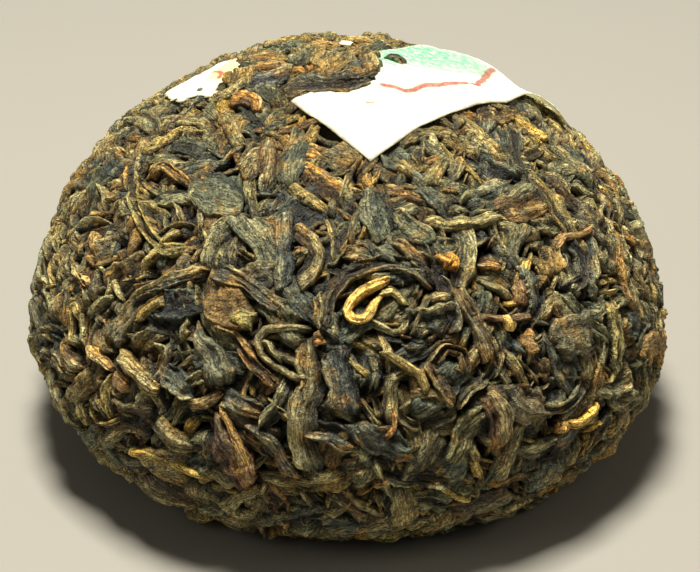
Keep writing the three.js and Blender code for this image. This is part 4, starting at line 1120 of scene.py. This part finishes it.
def slip_piece(name, node, material):
    """A slip as a thin closed sheet, draped over the leaves, with plan places as its UV map."""
    slip = SLIPS[node]
    edge = []
    corners = slip["outline"]
    for (ax, ay), (bx, by) in zip(corners, corners[1:] + corners[:1]):
        count = max(1, round(math.hypot(bx - ax, by - ay) / EDGE_STEP))
        for k in range(count):
            edge.append((ax + (bx - ax) * k / count, ay + (by - ay) * k / count))
    edge = np.array(edge) + slip["torn"] * random.uniform(-1, 1, (len(edge), 2))
    low, high = edge.min(0), edge.max(0)
    gx, gy = np.meshgrid(np.arange(low[0], high[0], FACE_STEP), np.arange(low[1], high[1], FACE_STEP))
    jitter = random.uniform(-FACE_JITTER, FACE_JITTER, (gx.size, 2))
    grid = np.stack([gx.ravel(), gy.ravel()], 1) + jitter
    ring = [tuple(place) for place in edge]
    grid = grid[inside_outline(grid[:, 0], grid[:, 1], ring)]
    gaps = np.min(np.hypot(grid[:, None, 0] - edge[None, :, 0], grid[:, None, 1] - edge[None, :, 1]), 1)
    places = np.concatenate([edge, grid[gaps > FACE_CLEARANCE]])
    links = [(k, (k + 1) % len(edge)) for k in range(len(edge))]
    made = delaunay_2d_cdt([Vector(place) for place in places], links, [list(range(len(edge)))], 1, 1e-5)
    flat = np.array([tuple(place) for place in made[0]])
    faces = np.array([face for face in made[2]])
    a, b, c = (flat[faces[:, k]] for k in range(3))
    turned = (b[:, 0] - a[:, 0]) * (c[:, 1] - a[:, 1]) - (b[:, 1] - a[:, 1]) * (c[:, 0] - a[:, 0]) < 0
    faces[turned] = faces[turned][:, ::-1]
    s, turn = on_dome(flat[:, 0], flat[:, 1])
    spot, _, out = skin.frame(s, turn)
    height = slip_height(flat[:, 0], flat[:, 1], slip["lifts"], slip_heights[node])
    top = spot + out * height[:, None]
    bottom = spot + out * (height - PAPER_THICKNESS)[:, None]
    count = len(flat)
    sides = np.concatenate([faces[:, [0, 1]], faces[:, [1, 2]], faces[:, [2, 0]]])
    both = {tuple(side) for side in sides.tolist()}
    rim = np.array([side for side in sides.tolist() if (side[1], side[0]) not in both])
    walls = np.stack([rim[:, 1], rim[:, 0], rim[:, 0] + count, rim[:, 1] + count], 1)
    loops = np.concatenate([faces.ravel(), (faces[:, ::-1] + count).ravel(), walls.ravel()])
    starts = np.concatenate([np.arange(2 * len(faces)) * 3, 6 * len(faces) + np.arange(len(walls)) * 4])
    piece = mesh_piece(name, lean_over(np.concatenate([top, bottom])), loops, starts, material)
    layer = piece.data.uv_layers.new(name="plan")
    layer.uv.foreach_set("vector", np.tile(flat, (2, 1))[loops].astype(np.float32).ravel())
    gaps = from_line(flat[:, 0], flat[:, 1], ring + ring[:1])
    for title, values in (("printed_side", np.repeat([1.0, 0.0], count)), ("from_edge", np.tile(gaps, 2))):
        layer = piece.data.attributes.new(title, "FLOAT", "POINT")
        layer.data.foreach_set("value", values.astype(np.float32))
    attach(piece, "root")
    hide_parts(node)
    return piece


def near_line(tree, place, line):
    """Nodes for the distance in mm of a plan place from a line through points."""
    nearest = None
    for (ax, ay), (bx, by) in zip(line, line[1:]):
        along = (bx - ax, by - ay, 0.0)
        squared = along[0] ** 2 + along[1] ** 2
        offset = add_node(tree, "VectorMath", dict(operation="SUBTRACT"), _0=place, _1=(ax, ay, 0.0))
        offset = offset.outputs[0]
        dot = add_node(tree, "VectorMath", dict(operation="DOT_PRODUCT"), _0=offset, _1=along)
        share = add_node(tree, "Math", dict(operation="DIVIDE", use_clamp=True), _0=dot.outputs["Value"],
                         _1=squared)
        foot = add_node(tree, "VectorMath", dict(operation="SCALE"), _0=along, Scale=share.outputs[0])
        gap = add_node(tree, "VectorMath", dict(operation="DISTANCE"), _0=offset, _1=foot.outputs[0])
        gap = gap.outputs["Value"]
        if nearest is None:
            nearest = gap
        else:
            nearest = add_node(tree, "Math", dict(operation="MINIMUM"), _0=nearest, _1=gap).outputs[0]
    return nearest


def paper_material(name, inks):
    """Soft matt paper with fibres of about 1.4 mm, uneven in tone, yellower underneath, and
    browned at its torn edge. inks are (hex colour, line, half width in mm, blur, mottling)."""
    made = bpy.data.materials.new(name)
    made.use_nodes = True
    tree = made.node_tree
    shader = tree.nodes["Principled BSDF"]
    # it is thin enough for light to come through
    for title, value in (("Roughness", 0.85), ("Specular IOR Level", 0.2), ("Subsurface Weight", 0.7),
                         ("Subsurface Radius", (1.0, 1.0, 0.9)), ("Subsurface Scale", MM)):
        shader.inputs[title].default_value = value
    plan = add_node(tree, "UVMap", dict(uv_map="plan")).outputs["UV"]
    side = add_node(tree, "Attribute", dict(attribute_name="printed_side")).outputs["Fac"]
    edge = add_node(tree, "Attribute", dict(attribute_name="from_edge")).outputs["Fac"]
    place = add_node(tree, "TexCoord").outputs["Object"]
    fibre = add_node(tree, "TexNoise", Vector=place, Scale=700.0, Detail=5.0, Roughness=0.7)
    stain = add_node(tree, "TexNoise", Vector=place, Scale=120.0, Detail=3.0)
    tint = add_node(tree, "MapRange", Value=stain.outputs["Fac"], From_Min=0.45, From_Max=0.75,
                    To_Min=0.0, To_Max=0.6)
    ground = add_node(tree, "Mix", dict(data_type="RGBA"), _0=tint.outputs[0], _6=linear("#f4f1d4"),
                      _7=linear("#e9e2b6"))
    colour = add_node(tree, "Mix", dict(data_type="RGBA"), _0=side, _6=linear("#eedd90"),
                      _7=ground.outputs[2])
    # the print wavers by up to a quarter of a millimetre
    warped = add_node(tree, "TexNoise", Vector=plan, Scale=0.55, Detail=2.0)
    bent = add_node(tree, "VectorMath", dict(operation="MULTIPLY_ADD"), _0=warped.outputs["Color"],
                    _1=(0.5, 0.5, 0.0), _2=plan)
    bent = add_node(tree, "VectorMath", dict(operation="SUBTRACT"), _0=bent.outputs[0], _1=(0.25, 0.25, 0.0))
    blots = add_node(tree, "TexNoise", Vector=plan, Scale=1.3, Detail=4.0, Roughness=0.65)
    for hex_colour, line, half, blur, mottling in inks:
        gap = near_line(tree, bent.outputs[0], line)
        field = add_node(tree, "MapRange", Value=gap, From_Min=half + blur, From_Max=half - blur,
                         To_Min=0.0, To_Max=1.0)
        wear = add_node(tree, "MapRange", Value=blots.outputs["Fac"], From_Min=0.62, From_Max=0.4,
                        To_Min=1 - mottling, To_Max=1.0)
        amount = field.outputs[0]
        for factor in (wear.outputs[0], side):
            amount = add_node(tree, "Math", dict(operation="MULTIPLY"), _0=amount, _1=factor).outputs[0]
        colour = add_node(tree, "Mix", dict(data_type="RGBA"), _0=amount, _6=colour.outputs[2],
                          _7=linear(hex_colour))
    browned = add_node(tree, "MapRange", Value=edge, From_Max=0.3, To_Min=0.7, To_Max=0.0)
    colour = add_node(tree, "Mix", dict(data_type="RGBA"), _0=browned.outputs[0], _6=colour.outputs[2],
                      _7=linear("#b9b27c"))
    tree.links.new(colour.outputs[2], shader.inputs["Base Color"])
    relief = add_node(tree, "Bump", Strength=0.35, Distance=0.1 * MM, Height=fibre.outputs["Fac"])
    tree.links.new(relief.outputs["Normal"], shader.inputs["Normal"])
    return made


ticket_paper = paper_material("printed_rice_paper", [
    ("#a5dcb0", GREEN_BAND, 5.4, 0.8, 0.5),
    ("#58b87c", GREEN_BAND, 3.6, 1.6, 0.8),
    ("#9f584c", RED_RULE, 0.42, 0.12, 0.2),
    ("#9f584c", RED_CORNER, 0.42, 0.12, 0.2),
    ("#8c8246", BROWN_FLECK, 0.16, 0.14, 0.3)])
scrap_paper = paper_material("torn_rice_paper", [
    ("#ecd27e", YELLOW_FIELD, 2.2, 1.0, 0.3),
    ("#e8a9a0", PINK_EDGE, 0.7, 0.5, 0.3),
    ("#c8544a", RED_MARK, 0.35, 0.15, 0.2)])
slip_piece("printed_ticket", "paper_ticket", ticket_paper)
slip_piece("torn_scrap", "paper_scrap", scrap_paper)
slip_piece("torn_speck", "paper_speck", scrap_paper)


# ---- The setting ----
# A plain pale floor, a large soft light overhead and two weak ones from the front, left and
# right, with a little light from all round.
FLOOR_SIZE = 6
LIGHTS = [
    # name, place and width in metres, watts, colour
    ("overhead", (-0.03, 0.04, 0.6), 0.16, 7.7, "#fffaf0"),
    ("front_left", (-0.45, -0.3, 0.42), 0.3, 0.36, "#fff8ec"),
    ("front_right", (0.5, -0.15, 0.42), 0.3, 0.4, "#fff3e0"),
]
LIT_POINT = (0, 0, 0.02)

bpy.ops.mesh.primitive_plane_add(size=FLOOR_SIZE, location=(0, 0, 0))
floor = bpy.context.object
floor.name = "floor"
pale = bpy.data.materials.new("pale_floor")
pale.use_nodes = True
pale.node_tree.nodes["Principled BSDF"].inputs["Base Color"].default_value = linear("#969389")
pale.node_tree.nodes["Principled BSDF"].inputs["Roughness"].default_value = 0.8
floor.data.materials.append(pale)

for name, place, size, watts, hex_colour in LIGHTS:
    light = bpy.data.lights.new(name, "AREA")
    light.size = size
    light.energy = watts
    light.color = linear(hex_colour)[:3]
    lamp = bpy.data.objects.new(name, light)
    lamp.location = place
    lamp.rotation_euler = (Vector(LIT_POINT) - Vector(place)).to_track_quat("-Z", "Y").to_euler()
    bpy.context.scene.collection.objects.link(lamp)
world = bpy.data.worlds.new("room")
world.use_nodes = True
world.node_tree.nodes["Background"].inputs["Color"].default_value = linear("#e8e6e2")
world.node_tree.nodes["Background"].inputs["Strength"].default_value = 0.09
bpy.context.scene.world = world

# The photograph's view: 30 degrees above the horizon, and close, so the dome fills the frame.
CAMERA_RISE = math.radians(30)
CAMERA_DISTANCE = 300.0
SENSOR_WIDTH = 36
FOCAL_SHARE = 2231 / 700   # focal length over the image's width
NEAREST_SEEN = 0.01
AIM = np.array([0.13, 1.91, 16.6])
camera_data = bpy.data.cameras.new("camera")
camera_data.sensor_width = SENSOR_WIDTH
camera_data.lens = SENSOR_WIDTH * FOCAL_SHARE
camera_data.clip_start = NEAREST_SEEN
camera = bpy.data.objects.new("camera", camera_data)
stand = np.array([0, -CAMERA_DISTANCE * math.cos(CAMERA_RISE),
                  BELLY_HEIGHT + CAMERA_DISTANCE * math.sin(CAMERA_RISE)])
camera.location = (stand + MODEL_SHIFT) * MM
camera.rotation_euler = Vector(AIM - stand).to_track_quat("-Z", "Y").to_euler()
bpy.context.scene.collection.objects.link(camera)
bpy.context.scene.camera = camera
bpy.context.scene.view_settings.view_transform = "Standard"
